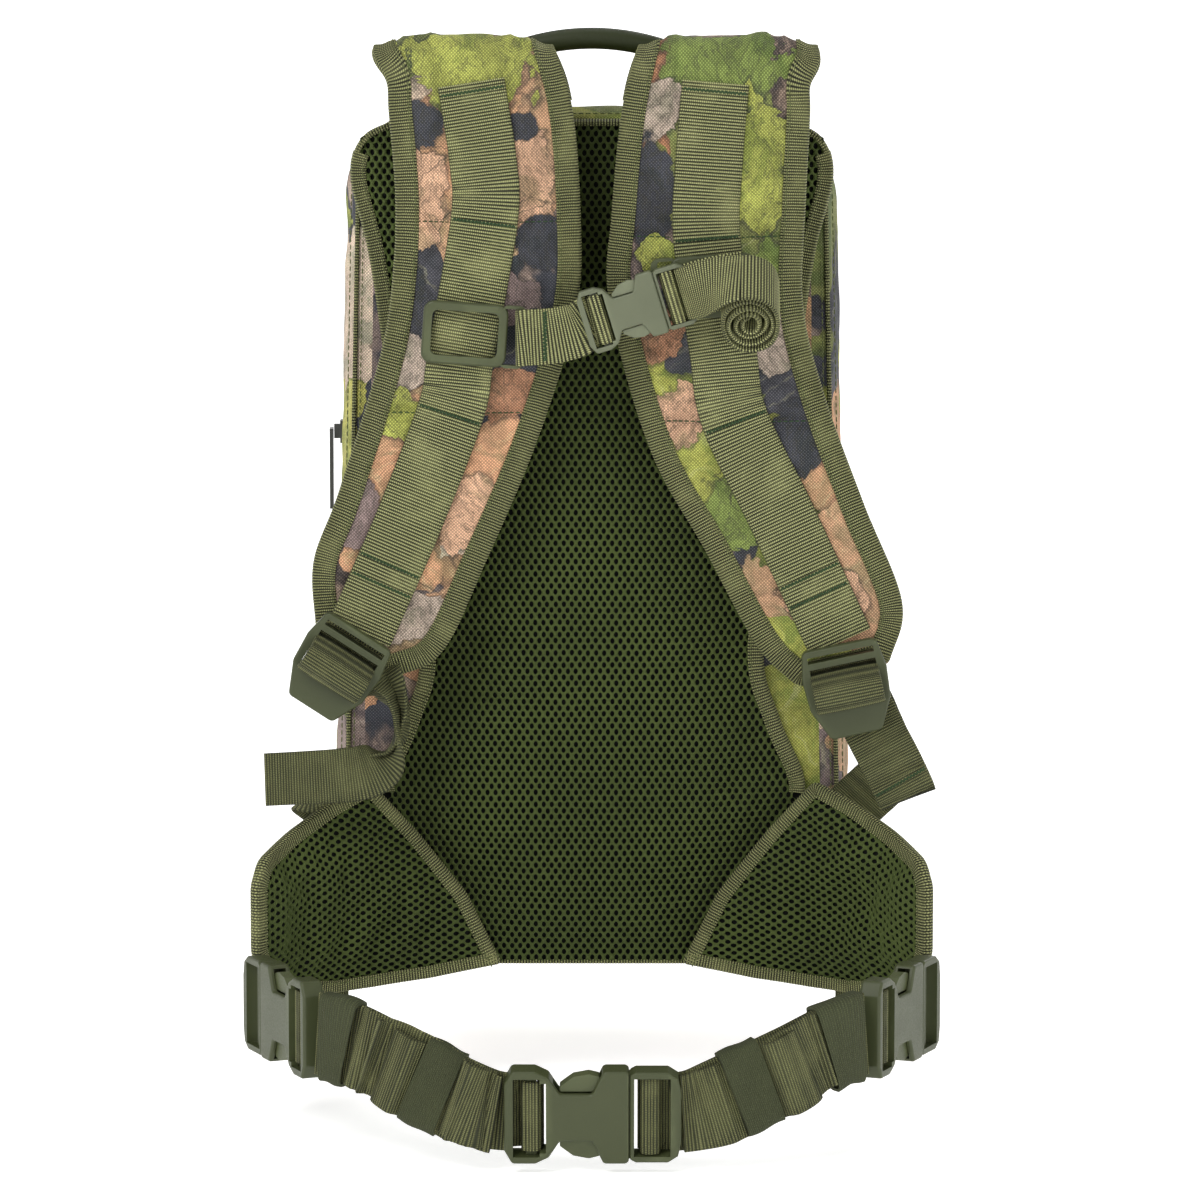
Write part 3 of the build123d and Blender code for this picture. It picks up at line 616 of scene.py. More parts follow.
def capsule(length, radius, sides=5):
    """Template of one stitch, along its own x axis."""
    points = []
    for x, r in ((-0.5, 0.35), (-0.3, 1.0), (0.3, 1.0), (0.5, 0.35)):
        for k in range(sides):
            angle = 2 * math.pi * k / sides
            points.append((x * length, math.cos(angle) * radius * r, math.sin(angle) * radius * r))
    faces = []
    for ring in range(3):
        for k in range(sides):
            a, b = ring * sides + k, ring * sides + (k + 1) % sides
            faces.append((a, b, b + sides, a + sides))
    faces.append(tuple(range(sides))[::-1])
    faces.append(tuple(3 * sides + k for k in range(sides)))
    return np.array(points), faces


def scatter(batch, template, places, ahead, normal):
    """Copies of a template at places, its x along ahead and its z along normal."""
    points, faces = template
    ahead = unit(np.asarray(ahead, float))
    normal = unit(np.asarray(normal, float))
    side = np.cross(normal, ahead)
    for p, t, b, n in zip(places, ahead, side, normal):
        batch.add(p + points[:, :1] * t + points[:, 1:2] * b + points[:, 2:] * n, faces)


def add_seam(batch, line, normal, pitch=3.2, length=2.4, radius=0.32, lift=0.15):
    """A row of stitches along a line on a surface."""
    line = np.asarray(line, float)
    normal = np.asarray(normal, float)
    both = resample(np.hstack([line, normal]), pitch)
    places, up = both[:, :3], unit(both[:, 3:])
    scatter(batch, capsule(length, radius), places + up * lift, np.gradient(places, axis=0), up)


def add_tack(batch, centre, across, normal, width, height=1.5, pitch=1.7, radius=0.34):
    """A bar-tack: one tight zigzag of thread across a strap."""
    centre, across, normal = (
        np.asarray(each, float)
        for each in (centre, unit(np.array(across, float)), unit(np.array(normal, float)))
    )
    along = np.cross(normal, across)
    count = int(width / pitch * 2)
    places, directions = [], []
    for k in range(count):
        x = -width / 2 + width * (k + 0.5) / count
        lean = 1 if k % 2 else -1
        places.append(centre + across * x)
        directions.append(across * pitch * 0.5 + along * height * lean)
    template = capsule(math.hypot(height, pitch * 0.5), radius, 4)
    scatter(batch, template, np.array(places), np.array(directions), np.tile(normal, (count, 1)))


# ================================================================ padded panels


def pillow(distance, edge, gain, start, reach, power):
    """Thickness of padding by its distance from the edge of a panel."""
    return edge + gain * (1 - np.exp(-(np.maximum(distance - start, 0) / reach) ** power))


CLOTH = {
    "quality": 5,
    "mass": 0.3,
    "tension_stiffness": 15,
    "compression_stiffness": 15,
    "shear_stiffness": 5,
    "bending_stiffness": 0.4,
    "pin_stiffness": 5,
    "use_pressure": True,
}


def settle(points, pinned, growth, pressure=4.0, frames=20):
    """Cloth simulation of a grid of points, blown up along its faces' normals. Returns the moved grid."""
    rows, columns = points.shape[:2]
    faces = grid_faces(rows, columns).tolist()
    mesh = bpy.data.meshes.new("cloth")
    mesh.from_pydata((points.reshape(-1, 3) * MM).tolist(), [], faces)
    mesh.update()
    cloth = bpy.data.objects.new("cloth", mesh)
    bpy.context.scene.collection.objects.link(cloth)
    group = cloth.vertex_groups.new(name="pinned")
    for index, weight in enumerate(pinned.ravel()):
        if weight > 0.01:
            group.add([index], float(weight), "REPLACE")
    modifier = cloth.modifiers.new("cloth", "CLOTH")
    for key, value in CLOTH.items():
        setattr(modifier.settings, key, value)
    modifier.settings.vertex_group_mass = "pinned"
    modifier.settings.shrink_min = -growth
    modifier.settings.uniform_pressure_force = pressure
    modifier.settings.effector_weights.gravity = 0
    modifier.point_cache.frame_end = frames
    for frame_number in range(1, frames + 1):
        bpy.context.scene.frame_set(frame_number)
    result = cloth.evaluated_get(bpy.context.evaluated_depsgraph_get()).to_mesh()
    moved = np.empty(len(result.vertices) * 3)
    result.vertices.foreach_get("co", moved)
    bpy.data.objects.remove(cloth, do_unlink=True)
    bpy.context.scene.frame_set(1)
    return moved.reshape(rows, columns, 3) / MM


class Panel:
    """A padded panel on a bent base line. At each s along it, it is flat from low(s) to high(s) across."""

    def __init__(self, base, normal, sideways, along, low, high, columns, front, back):
        self.base, self.normal, self.sideways = base, normal, np.array(sideways, float)
        self.s, self.low, self.high = along, low, high
        share = (1 - np.cos(np.linspace(0, math.pi, columns))) / 2
        share = 0.55 * share + 0.45 * np.linspace(0, 1, columns)
        self.share = share
        self.a = low[:, None] + (high - low)[:, None] * share[None, :]
        self.flat = np.stack([self.a, np.tile(along[:, None], (1, columns))], -1)
        lower, upper = self.edges()
        self.outline = np.vstack([lower, upper[::-1]])
        distance = self.distance(self.flat.reshape(-1, 2)).reshape(self.a.shape)
        self.front = front(distance, self.flat)
        self.back = back(distance, self.flat)

    def distance(self, points, line=None):
        """How far each flat point is from the outline, or from another flat line."""
        line = resample(np.vstack([self.outline, self.outline[:1]]) if line is None else line, 3.0)
        start, end = line[:-1], line[1:]
        span = end - start
        size = np.maximum((span**2).sum(1), 1e-9)
        best = np.full(len(points), 1e9)
        for first in range(0, len(points), 4000):
            part = points[first:first + 4000]
            t = np.clip(((part[:, None] - start) * span).sum(-1) / size, 0, 1)
            gap = np.linalg.norm(part[:, None] - start - t[..., None] * span, axis=-1)
            best[first:first + 4000] = gap.min(1)
        return best

    def edges(self):
        """The low and the high edge as flat lines."""
        return [np.stack([side, self.s], 1) for side in (self.low, self.high)]

    def inside(self, points):
        low = np.interp(points[:, 1], self.s, self.low)
        high = np.interp(points[:, 1], self.s, self.high)
        within = (points[:, 1] > self.s[0]) & (points[:, 1] < self.s[-1])
        return within & (points[:, 0] > low) & (points[:, 0] < high)

    def height(self, points, heights):
        """Bilinear height of the panel's front or back at flat points."""
        row = np.interp(points[:, 1], self.s, np.arange(len(self.s)))
        low = np.interp(row, np.arange(len(self.s)), self.low)
        high = np.interp(row, np.arange(len(self.s)), self.high)
        column = (points[:, 0] - low) / np.maximum(high - low, 1e-6)
        column = np.interp(column, self.share, np.arange(len(self.share)))
        r = np.clip(row.astype(int), 0, len(self.s) - 2)
        c = np.clip(column.astype(int), 0, len(self.share) - 2)
        fr, fc = row - r, column - c
        return (
            heights[r, c] * (1 - fr) * (1 - fc)
            + heights[r + 1, c] * fr * (1 - fc)
            + heights[r, c + 1] * (1 - fr) * fc
            + heights[r + 1, c + 1] * fr * fc
        )

    def frame_at(self, s):
        base = np.stack([np.interp(s, self.s, column) for column in self.base.T], -1)
        normal = unit(np.stack([np.interp(s, self.s, column) for column in self.normal.T], -1))
        return base, normal

    def at(self, points, lift=0.0, side=1):
        """Points in space for flat points, lift above the panel's front (side 1) or back (side -1)."""
        points = np.asarray(points, float).reshape(-1, 2)
        base, normal = self.frame_at(points[:, 1])
        tall = self.height(points, self.front if side > 0 else self.back)
        return base + self.sideways * points[:, :1] + normal * (side * (tall + lift))[:, None], normal * side

    def shell(self, side, lift=0.0):
        heights = (self.front if side > 0 else self.back) + lift
        return (
            self.base[:, None]
            + self.sideways * self.a[..., None]
            + self.normal[:, None] * (side * heights)[..., None]
        )

    def inflate(self, free, limit, growth=0.03):
        """Blow the front up as cloth. free(flat) is 1 where it may move and 0 where it is sewn down."""
        rows, columns = (np.unique(np.append(np.arange(0, n, 2), n - 1)) for n in self.a.shape)
        pick = np.ix_(rows, columns)
        start = self.shell(1)[pick]
        flat = self.flat[pick]
        clear = step(self.distance(flat.reshape(-1, 2)).reshape(flat.shape[:2]), 6, 12)
        loose = np.clip(free(flat) * clear, 0, 1)
        moved = settle(start, 1 - loose, growth)
        normal = self.normal[rows][:, None]
        push = np.clip(((moved - start) * normal).sum(-1), -0.4 * limit, limit)
        push = np.stack([np.interp(np.arange(self.a.shape[1]), columns, line) for line in push])
        push = np.stack([np.interp(np.arange(self.a.shape[0]), rows, line) for line in push.T], 1)
        self.front = self.front + push

    def add_pad(self, batch, drop=0.5):
        """Closed body of the pad, a little under its front face."""
        rows, columns = self.a.shape
        front, back = self.shell(1, -drop), self.shell(-1)
        batch.add(front, grid_faces(rows, columns).tolist(), self.flat)
        batch.add(back, grid_faces(rows, columns, flip=True).tolist(), self.flat)
        edge = list(range(columns)) + [r * columns + columns - 1 for r in range(1, rows)]
        edge += [(rows - 1) * columns + c for c in range(columns - 2, -1, -1)]
        edge += [r * columns for r in range(rows - 2, 0, -1)]
        rim = np.vstack([front.reshape(-1, 3)[edge], back.reshape(-1, 3)[edge]])
        flat = np.vstack([self.flat.reshape(-1, 2)[edge]] * 2)
        n = len(edge)
        batch.add(rim, [(k, (k + 1) % n, n + (k + 1) % n, n + k) for k in range(n)], flat)

    def add_face(self, batch, lift=0.0, side=1):
        """One face of the panel as a sheet of cloth, its edges turned down."""
        batch.add(self.shell(side, lift), grid_faces(*self.a.shape, flip=side < 0).tolist(), self.flat)

    def add_binding(
        self, batch, line, width, thick=0.75, spacing=0.4, rib=1.35, depth=0.22, seam=None, turn=1,
    ):
        """Tape folded over the edge along the flat line. The panel is on its left (turn 1) or right (-1)."""
        line = resample(np.asarray(line, float), spacing)
        kernel = np.ones(13) / 13
        padded = np.vstack([np.tile(line[:1], (6, 1)), line, np.tile(line[-1:], (6, 1))])
        soft = np.stack([np.convolve(column, kernel, "valid") for column in padded.T], 1)
        soft[:3], soft[-3:] = line[:3], line[-3:]
        ahead = unit(np.gradient(soft, axis=0))
        inward = np.stack([-ahead[:, 1], ahead[:, 0]], 1) * turn
        travelled = travel_along(soft)
        ribs = depth * (0.5 + 0.5 * np.sin(2 * math.pi * travelled / rib))
        profile = [(width, 0.02, 1), (width - 0.25, thick, 1)]
        profile += [(width * k, thick, 1) for k in (0.82, 0.66, 0.5, 0.34, 0.2, 0.1)]
        profile += [(0.0, thick * 0.8, 1), (-thick, 0.3, 0)]
        profile += [(0.0, thick * 0.8, -1), (width * 0.2, thick, -1), (width * 0.6, thick, -1)]
        profile += [(width - 0.25, thick, -1), (width, 0.02, -1)]
        rows = []
        for distance, lift, side in profile:
            flat = soft + inward * max(distance, 0.0)
            if side == 0:
                front, normal = self.at(flat, 0, 1)
                back, _ = self.at(flat, 0, -1)
                out = self.at(flat + inward * 0.5, 0, 1)[0] - front
                out = out - normal * (out * normal).sum(1, keepdims=True)
                points = (front + back) / 2 - unit(out) * (thick + ribs[:, None])
            else:
                points, _ = self.at(flat, lift + (ribs if lift > 0.1 else 0), side)
            rows.append(points)
        points = np.stack(rows, 1)
        across = np.cumsum([0, 0.7] + [width * 0.15] * 6 + [1.5, 1.5, 1.5, 2, 4, 3, 0.7])[:len(profile)]
        uvs = np.stack(np.broadcast_arrays(travelled[:, None], across[None, :]), -1)
        batch.add(points, grid_faces(points.shape[0], points.shape[1], flip=turn > 0).tolist(), uvs)
        if seam is not None:
            flat = soft + inward * (width - 1.6)
            places, normal = self.at(flat, thick + 0.1)
            add_seam(seam, places, normal)


def add_net(batch, panel, taped, pitch=3.8, row=2.9, hole=(0.98, 1.38), margin=4.0, lift=-0.25, rise=1.3):
    """Knitted mesh: strands round staggered oval holes. It ends under the tapes, given as flat lines."""
    low, high = panel.outline.min(0), panel.outline.max(0)
    centres = []
    for k, s in enumerate(np.arange(low[1], high[1], row)):
        offset = pitch / 2 if k % 2 else 0.0
        xs = np.arange(low[0] - offset, high[0] + pitch, pitch)
        centres.append(np.stack([xs, np.full(len(xs), s)], 1))
    centres = np.vstack(centres)
    keep = panel.inside(centres)
    centres = centres[keep]
    for line in taped:
        centres = centres[panel.distance(centres, line) > margin]
    tall = (row**2 + (pitch / 2) ** 2) / (2 * row)
    short = row - tall
    corner = [
        (0, tall), (pitch / 2, short), (pitch / 2, -short), (0, -tall), (-pitch / 2, -short),
        (-pitch / 2, short),
    ]
    ring = []
    for (x0, s0), (x1, s1) in zip(corner, corner[1:] + corner[:1]):
        ring += [(x0, s0), ((x0 + x1) / 2, (s0 + s1) / 2)]
    ring = np.array(ring)
    angle = np.arctan2(ring[:, 1], ring[:, 0])
    oval = np.stack([np.cos(angle) * hole[0], np.sin(angle) * hole[1]], 1)
    outer = (centres[:, None] + ring).reshape(-1, 2)
    key = np.round(outer * 20).astype(np.int64)
    _, first, inverse = np.unique(key, axis=0, return_index=True, return_inverse=True)
    inverse = inverse.reshape(-1)
    shared = outer[first]
    wobble = np.stack([field(centres, 9, 5), field(centres, 9, 6)], 1) * 0.12
    inner = (centres[:, None] + oval + wobble[:, None]).reshape(-1, 2)
    top, _ = panel.at(shared, lift + rise)
    edge, _ = panel.at(inner, lift)
    n, m = len(ring), len(shared)
    faces = []
    for cell in range(len(centres)):
        for k in range(n):
            j = (k + 1) % n
            faces.append((inverse[cell * n + k], inverse[cell * n + j], m + cell * n + j, m + cell * n + k))
    batch.add(np.vstack([top, edge]), faces, np.vstack([shared, inner]))


# ================================================================ shoulder straps

STRAP_EDGES = {
    -1: {
        "outer": [
            (-97, 450), (-101, 433), (-94, 421), (-93, 408), (-90, 370), (-91, 335), (-97, 295), (-117, 230),
            (-129, 197), (-128, 166),
        ],
        "inner": [
            (-26, 450), (-11, 415), (-6, 360), (-8, 315), (-26, 255), (-50, 198), (-71, 155), (-96, 143),
        ],
    },
    1: {
        "outer": [
            (101, 450), (105, 430), (100, 419), (100, 406), (98, 365), (97, 318), (107, 276), (126, 224),
            (144, 178), (138, 150),
        ],
        "inner": [(28, 450), (16, 415), (10, 360), (9, 318), (28, 250), (53, 204), (78, 158), (97, 139)],
    },
}
STRAP_PROFILE = [
    (-5.2, 402), (-6, 420), (-20, 434), (-35, 424), (-41, 392), (-40, 300), (-37, 210), (-40, 136),
]
WEBBING_LINE = {
    -1: [(-55.5, 421), (-50, 385), (-49.5, 358), (-60.5, 295), (-65, 270), (-84, 220), (-108, 165)],
    1: [(57, 421), (54, 385), (53, 350), (60.5, 298), (66, 266), (88, 220), (115.5, 161)],
}
WEBBING_DEPTH = [
    (-46, 421), (-50.2, 397), (-52.6, 372), (-52.7, 330), (-52.6, 290), (-47.8, 264), (-46.2, 225),
    (-46.6, 158),
]
# heights at which each strap is stitched across, with its bar-tacks
QUILTS = {-1: (357, 268), 1: (350, 264)}
WORD = {-1: "left", 1: "right"}
LOCK_TACKS = {-1: 197, 1: 192}


def curve_x(points, z):
    line = smooth_path(points, 1.0)[::-1]
    return np.interp(z, line[:, 1], line[:, 0])


def strap_panel(side):
    profile = smooth_path(STRAP_PROFILE, 2.0)
    bottom = min(z for _, z in STRAP_EDGES[side]["inner"])
    front = np.arange(len(profile)) > np.argmax(profile[:, 1])
    keep = ~front | (profile[:, 1] > bottom + 0.5)
    profile = profile[keep]
    z = profile[:, 1]
    outer, inner = (curve_x(STRAP_EDGES[side][edge], z) for edge in ("outer", "inner"))
    corner = STRAP_EDGES[side]["outer"][-1]
    tip = STRAP_EDGES[side]["inner"][-1]
    share = np.clip((corner[1] - z) / (corner[1] - tip[1]), 0, 1)
    outer = np.where(
        (z < corner[1]) & (np.arange(len(z)) > len(z) / 2), corner[0] + (tip[0] - corner[0]) * share, outer,
    )
    low, high = (outer, inner) if side < 0 else (inner, outer)
    high = np.maximum(high, low + 0.6)
    ahead = unit(np.gradient(profile, axis=0))
    normal = np.stack([0 * z, ahead[:, 1], -ahead[:, 0]], 1)
    base = np.stack([0 * z, profile[:, 0], z], 1)
    along = travel_along(profile)
    middle = curve_x(WEBBING_LINE[side], np.where(np.arange(len(z)) < np.argmax(z), 440, z))
    is_front = np.arange(len(z)) >= np.argmax(z)

    def rise(distance, flat):
        height = pillow(distance, 2.1, 5.4, 3, 9.5, 1.5)
        level = np.interp(flat[..., 1], along, z)
        centre = np.interp(flat[..., 1], along, middle)
        on_front = np.interp(flat[..., 1], along, is_front.astype(float))
        arch = step(level, 262, 300) * (1 - step(level, 372, 412)) * on_front
        height += arch * 4.6 * np.exp(-((flat[..., 0] - centre) / 21) ** 4)
        for quilt in QUILTS[side]:
            bumpy = 1 + 0.5 * field(flat, 16, 3 + side)
            groove = np.exp(-(((level - quilt) / 3.0) ** 2)) * on_front
            swell = np.exp(-(((np.abs(level - quilt) - 12) / 9) ** 2)) * on_front
            clear = step(np.abs(flat[..., 0] - centre), 13, 19)
            height += clear * step(distance, 5, 14) * (-2.6 * groove + 0.9 * swell * bumpy)
        height += 0.55 * step(distance, 8, 18) * field(flat, 38, 11 + side, 3)
        return height

    def sink(distance, flat):
        uneven = 0.4 * step(distance, 8, 18) * field(flat, 44, 31 + side)
        return pillow(distance, 2.1, 3.9, 3, 9, 1.5) + uneven

    return Panel(base, normal, (1, 0, 0), along, low, high, 46, rise, sink), z, along


def strap_surface(z, along, x, level):
    """The flat point of a panel's front branch at x and height level."""
    top = int(np.argmax(z))
    return np.stack([np.asarray(x, float), np.interp(-np.asarray(level, float), -z[top:], along[top:])], -1)


def webbing_path(side):
    line = smooth_path(WEBBING_LINE[side], 2.0)
    fine = smooth_path(WEBBING_DEPTH[::-1], 1.0)
    y = np.interp(line[:, 1], fine[:, 1], fine[:, 0])
    return np.stack([line[:, 0], y - 0.8, line[:, 1]], 1)


def make_straps(threads, olive_threads):
    camo = {-1: M_CAMO_LEFT, 1: M_CAMO_RIGHT}
    for side in (-1, 1):
        word = WORD[side]
        panel, z, along = strap_panel(side)
        levels = np.linspace(136, 430, 99)
        middle = curve_x(WEBBING_LINE[side], levels)

        def free(flat):
            level = np.interp(flat[..., 1], along, z)
            clear = step(np.abs(flat[..., 0] - np.interp(level, levels, middle)), 15, 19)
            for quilt in QUILTS[side]:
                clear = clear * step(np.abs(level - quilt), 1.0, 5.0)
            return clear * step(flat[..., 1], 30, 50)

        panel.inflate(free, 4.0, 0.06)
        pad = Batch()
        panel.add_pad(pad)
        pad_obj = pad.build(f"strap_{word}_padding", M_LINING, "foam", "pack", [f"strap_{word}_pad"])
        face = Batch()
        panel.add_face(face)
        face.build(f"strap_{word}_camo", camo[side], "camo_fabric", "pack", [f"strap_{word}_face"])
        tape = Batch()
        low_line, high_line = panel.edges()
        line = np.vstack([low_line[4:], high_line[:3:-1]])
        panel.add_binding(tape, line, 10.2, seam=olive_threads, turn=-1)
        tape.build(f"strap_{word}_edge_tape", M_BINDING, "binding", "pack", [f"strap_{word}_binding"])

        web = Batch()
        path = webbing_path(side)
        across = np.cross(unit(np.gradient(path, axis=0)), (0, -1, 0))
        across[:, 1] = 0
        add_strip(web, path, unit(across), 30, 1.5, smooth=False, cup=0.35)
        web.build(f"strap_{word}_centre_webbing", M_WEBBING, "webbing", "pack", [f"strap_{word}_webbing"])
        # bar-tacks across the webbing, and the quilting seam on each side of it
        steps = resample(path, 1.0)
        ahead = unit(np.gradient(steps, axis=0))
        for level in (*QUILTS[side], 417, LOCK_TACKS[side], LOCK_TACKS[side] - 9):
            k = int(np.argmin(np.abs(steps[:, 2] - level)))
            tilt = unit(np.array([ahead[k][2], 0, -ahead[k][0]]))
            add_tack(threads, steps[k] + np.array([0, -1.15, 0]), tilt, (0, -1, 0), 29)
        for quilt in QUILTS[side]:
            k = int(np.argmin(np.abs(z - quilt) + 100 * (np.arange(len(z)) < np.argmax(z))))
            centre = curve_x(WEBBING_LINE[side], quilt)
            for start, end in ((panel.low[k] + 10, centre - 15), (centre + 15, panel.high[k] - 10)):
                xs = np.linspace(start, end, 20)
                places, normal = panel.at(strap_surface(z, along, xs, np.full(20, quilt)), 0.1)
                add_seam(threads, places, normal, 2.8, 2.1, 0.3)


# ================================================================ back panel

BACK_HALF = [
    (46, 0), (64, 37), (84, 62), (100, 84), (88, 117), (80, 150), (88, 222), (98, 300), (104, 340),
    (112, 374), (107, 392), (92, 400),
]


def make_back(olive_threads):
    line = smooth_path(BACK_HALF, 1.5)
    z = np.arange(0.0, 400.1, 2.0)
    order = np.argsort(line[:, 1])
    half = np.interp(z, line[order, 1], line[order, 0])
    base = np.stack([0 * z, np.full(len(z), 0.2), z], 1)
    normal = np.tile([0.0, -1.0, 0.0], (len(z), 1))

    def rise(distance, flat):
        height = pillow(distance, 2.2, 7.8, 4, 16, 1.4)
        x, level = flat[..., 0], flat[..., 1]
        height += 2.2 * np.exp(-((x / 40) ** 2)) * np.exp(-(((level - 215) / 90) ** 2))
        height -= 1.8 * np.exp(-(((level - 96) / 9) ** 2)) * step(np.abs(x), 30, 70)
        return height + 0.6 * step(distance, 10, 30) * field(flat, 60, 21, 3)

    panel = Panel(base, normal, (1, 0, 0), z, -half, half, 70, rise, lambda d, f: 2.4 + 0 * d)
    panel.inflate(lambda flat: np.ones(flat.shape[:2]), 3.5, 0.02)
    edge = (z > 80) & (z < 387)
    left, right = panel.edges()
    taped = [left[edge], right[edge]]
    pad = Batch()
    panel.add_pad(pad, 1.8)
    # the pad under the net is in near-black painted shade
    pad_obj = pad.build("back_padding", M_UNDER_NET_SHADE, "foam", "pack", ["back_foam"])
    net = Batch()
    add_net(net, panel, taped)
    net.build("back_net", M_NET, "air_mesh", "pack", ["back_mesh"])
    tape = Batch()
    panel.add_binding(tape, taped[0][::-1], 6.6, thick=1.0, seam=olive_threads, turn=1)
    panel.add_binding(tape, taped[1], 6.6, thick=1.0, seam=olive_threads, turn=1)
    top = z > 384
    foot = z < 12
    panel.add_binding(tape, np.vstack([right[top], left[top][::-1]]), 2.2, thick=0.7, turn=1)
    panel.add_binding(tape, np.vstack([left[foot][::-1], right[foot]]), 1.8, thick=0.5, turn=1)
    tape.build("back_edge_tape", M_BINDING, "binding", "pack", ["back_binding"])


# ================================================================ waist wings

WING_PLAN = [(42, -9), (78, -13), (112, -24), (140, -45), (156, -72)]
WING_OUTLINE = [
    (44, 2), (60, 35), (83, 65), (105, 90), (122, 82), (140, 71), (153, 61), (158, 45), (158, 30), (156, 15),
    (149, 2), (138, -6), (122, -8), (104, -7), (76, -4),
]
LOOP_PLAN = [
    (147.9, -88.2), (152.3, -77.5), (156, -62), (153, -50.5), (144.4, -40.2), (130.1, -27.8), (115.6, -18.6),
]


def wing_panel(side):
    plan = smooth_path(WING_PLAN, 1.0)
    top = resample(np.array(WING_OUTLINE[:8], float), 1.0)
    low = resample(np.array([WING_OUTLINE[0]] + WING_OUTLINE[:6:-1], float), 1.0)
    count = 78
    x = np.linspace(44.5, 156.5, count)
    upper = np.interp(x, top[:, 0], top[:, 1])
    order = np.argsort(low[:, 0], kind="stable")
    lower = np.interp(x, low[order, 0], low[order, 1])
    upper = np.maximum(upper, lower + 0.8)
    y = np.interp(x, plan[:, 0], plan[:, 1])
    base = np.stack([side * x, y, 0 * x], 1)
    along = np.concatenate([[0], np.cumsum(np.hypot(np.diff(x), np.diff(y)))])
    ahead = unit(np.gradient(base, axis=0))
    normal = np.stack([ahead[:, 1] * side, -ahead[:, 0] * side, 0 * x], 1)

    def rise(distance, flat):
        height = pillow(distance, 1.9, 5.6, 4, 11, 1.4)
        return height + 0.7 * step(distance, 8, 22) * field(flat, 42, 51 + side, 3)

    def sink(distance, flat):
        uneven = 0.3 * step(distance, 8, 22) * field(flat, 42, 61 + side)
        return pillow(distance, 1.9, 2.6, 4, 10, 1.4) + uneven

    return Panel(base, normal, (0, 0, 1), along, lower, upper, 54, rise, sink)


def make_wings():
    for side in (-1, 1):
        word = WORD[side]
        panel = wing_panel(side)
        blend = ("pack", "belt_right", (0.050, 0, 0.03), (0.158, 0, 0.03)) if side > 0 else None
        panel.inflate(lambda flat: np.ones(flat.shape[:2]), 3.0, 0.03)
        lower, upper = panel.edges()
        edge = np.vstack([upper, lower[::-1]])
        seams = Batch()
        pad = Batch()
        panel.add_pad(pad, 1.6)
        # the pad under the net is in near-black painted shade
        pad_obj = pad.build(
            f"wing_{word}_padding", M_UNDER_NET_SHADE, "foam", "pack", [f"wing_{word}_foam"], blend=blend,
        )
        back = Batch()
        panel.add_face(back, 0.3, -1)
        back.build(f"wing_{word}_outside", M_CAMO, "camo_fabric", "pack", blend=blend)
        net = Batch()
        add_net(net, panel, [edge])
        net.build(f"wing_{word}_net", M_NET, "air_mesh", "pack", [f"wing_{word}_mesh"], blend)
        tape = Batch()
        panel.add_binding(tape, edge, 5.6, thick=0.9, seam=seams, turn=1)
        tape.build(f"wing_{word}_edge_tape", M_BINDING, "binding", "pack", [f"wing_{word}_binding"], blend)
        seams.build(f"wing_{word}_seam_threads", M_THREAD_OLIVE, "binding", "pack", blend=blend)

        loop = Batch()
        path = [(side * x, y, -1.5) for x, y in LOOP_PLAN]
        add_strip(loop, path, (0, 0, 1), 37, 1.5)
        carrier = "belt_right" if side > 0 else "pack"
        ends = ((side * 0.120, -0.022, 0), (side * 0.151, -0.075, 0))
        loop.build(
            f"wing_{word}_plug_webbing", M_BELT, "webbing", None, [f"wing_loop_{word}"],
            (carrier, f"wing_tip_{word}", *ends),
        )


# ================================================================ pack body

BODY_HEIGHT, HALF_BASE, HALF_TOP, TOP_RADIUS, BASE_RADIUS = 405.0, 122.5, 114.0, 42.0, 26.0
POCKET_HALF, POCKET_LOW, POCKET_HIGH, POCKET_RADIUS, POCKET_TAPER = 96.0, 26.0, 262.0, 24.0, 6.0
ZIP_DEPTH = 94.3
# (depth y, how far inside the outline) from the zip to the face: of the tray, the lid and the pocket
TRAY_ROWS = [
    (92, 1.2), (90, 1.1), (86, 0.6), (78, -0.2), (68, -0.8), (56, -1.0), (44, -0.8), (33, -0.2),
    (24, 0.6), (17, 1.4), (12, 2.4), (8.5, 3.6), (6.2, 5.2), (4.6, 7.4), (3.6, 10.0), (3.1, 13.0),
]
LID_ROWS = [
    (97, 1.2), (99, 1.1), (103, 0.3), (109, -0.4), (115, 0.0), (120, 1.0), (124, 2.2), (127, 5.4),
    (129, 9.0), (130.3, 13.5),
]
POCKET_ROWS = [
    (130.5, 0.6), (134, -0.6), (140, -1.8), (147, -1.6), (153, 0.6), (157, 3.6), (160, 7.4), (161.8, 12.0),
]
QUARTER = math.pi / 2


def rounded_outline(foot, corners, steps, spacing):
    """A closed (x, z) line, anticlockwise from the middle of its foot, with its outward normals.

    Each corner is (centre x, centre z, radius, first angle, last angle).
    """
    points = [(0.0, foot)]
    for cx, cz, radius, start, end in corners:
        for angle in np.linspace(start, end, steps):
            points.append((cx + radius * math.cos(angle), cz + radius * math.sin(angle)))
    points.append((0.0, foot))
    line = resample(np.array(points), spacing)
    ahead = unit(np.gradient(line, axis=0))
    ahead[0] = ahead[-1] = (1, 0)
    return line, np.stack([ahead[:, 1], -ahead[:, 0]], 1)


def body_outline():
    slope = math.atan2(HALF_BASE - HALF_TOP, BODY_HEIGHT)
    low_x, low_z = HALF_BASE - BASE_RADIUS, BASE_RADIUS
    top_x, top_z = HALF_TOP - TOP_RADIUS + 0.8, BODY_HEIGHT - TOP_RADIUS
    corners = [
        (low_x, low_z, BASE_RADIUS, -QUARTER, slope),
        (top_x, top_z, TOP_RADIUS, slope, QUARTER),
        (-top_x, top_z, TOP_RADIUS, QUARTER, math.pi - slope),
        (-low_x, low_z, BASE_RADIUS, math.pi - slope, math.pi + QUARTER),
    ]
    return rounded_outline(0.0, corners, 14, 2.5)


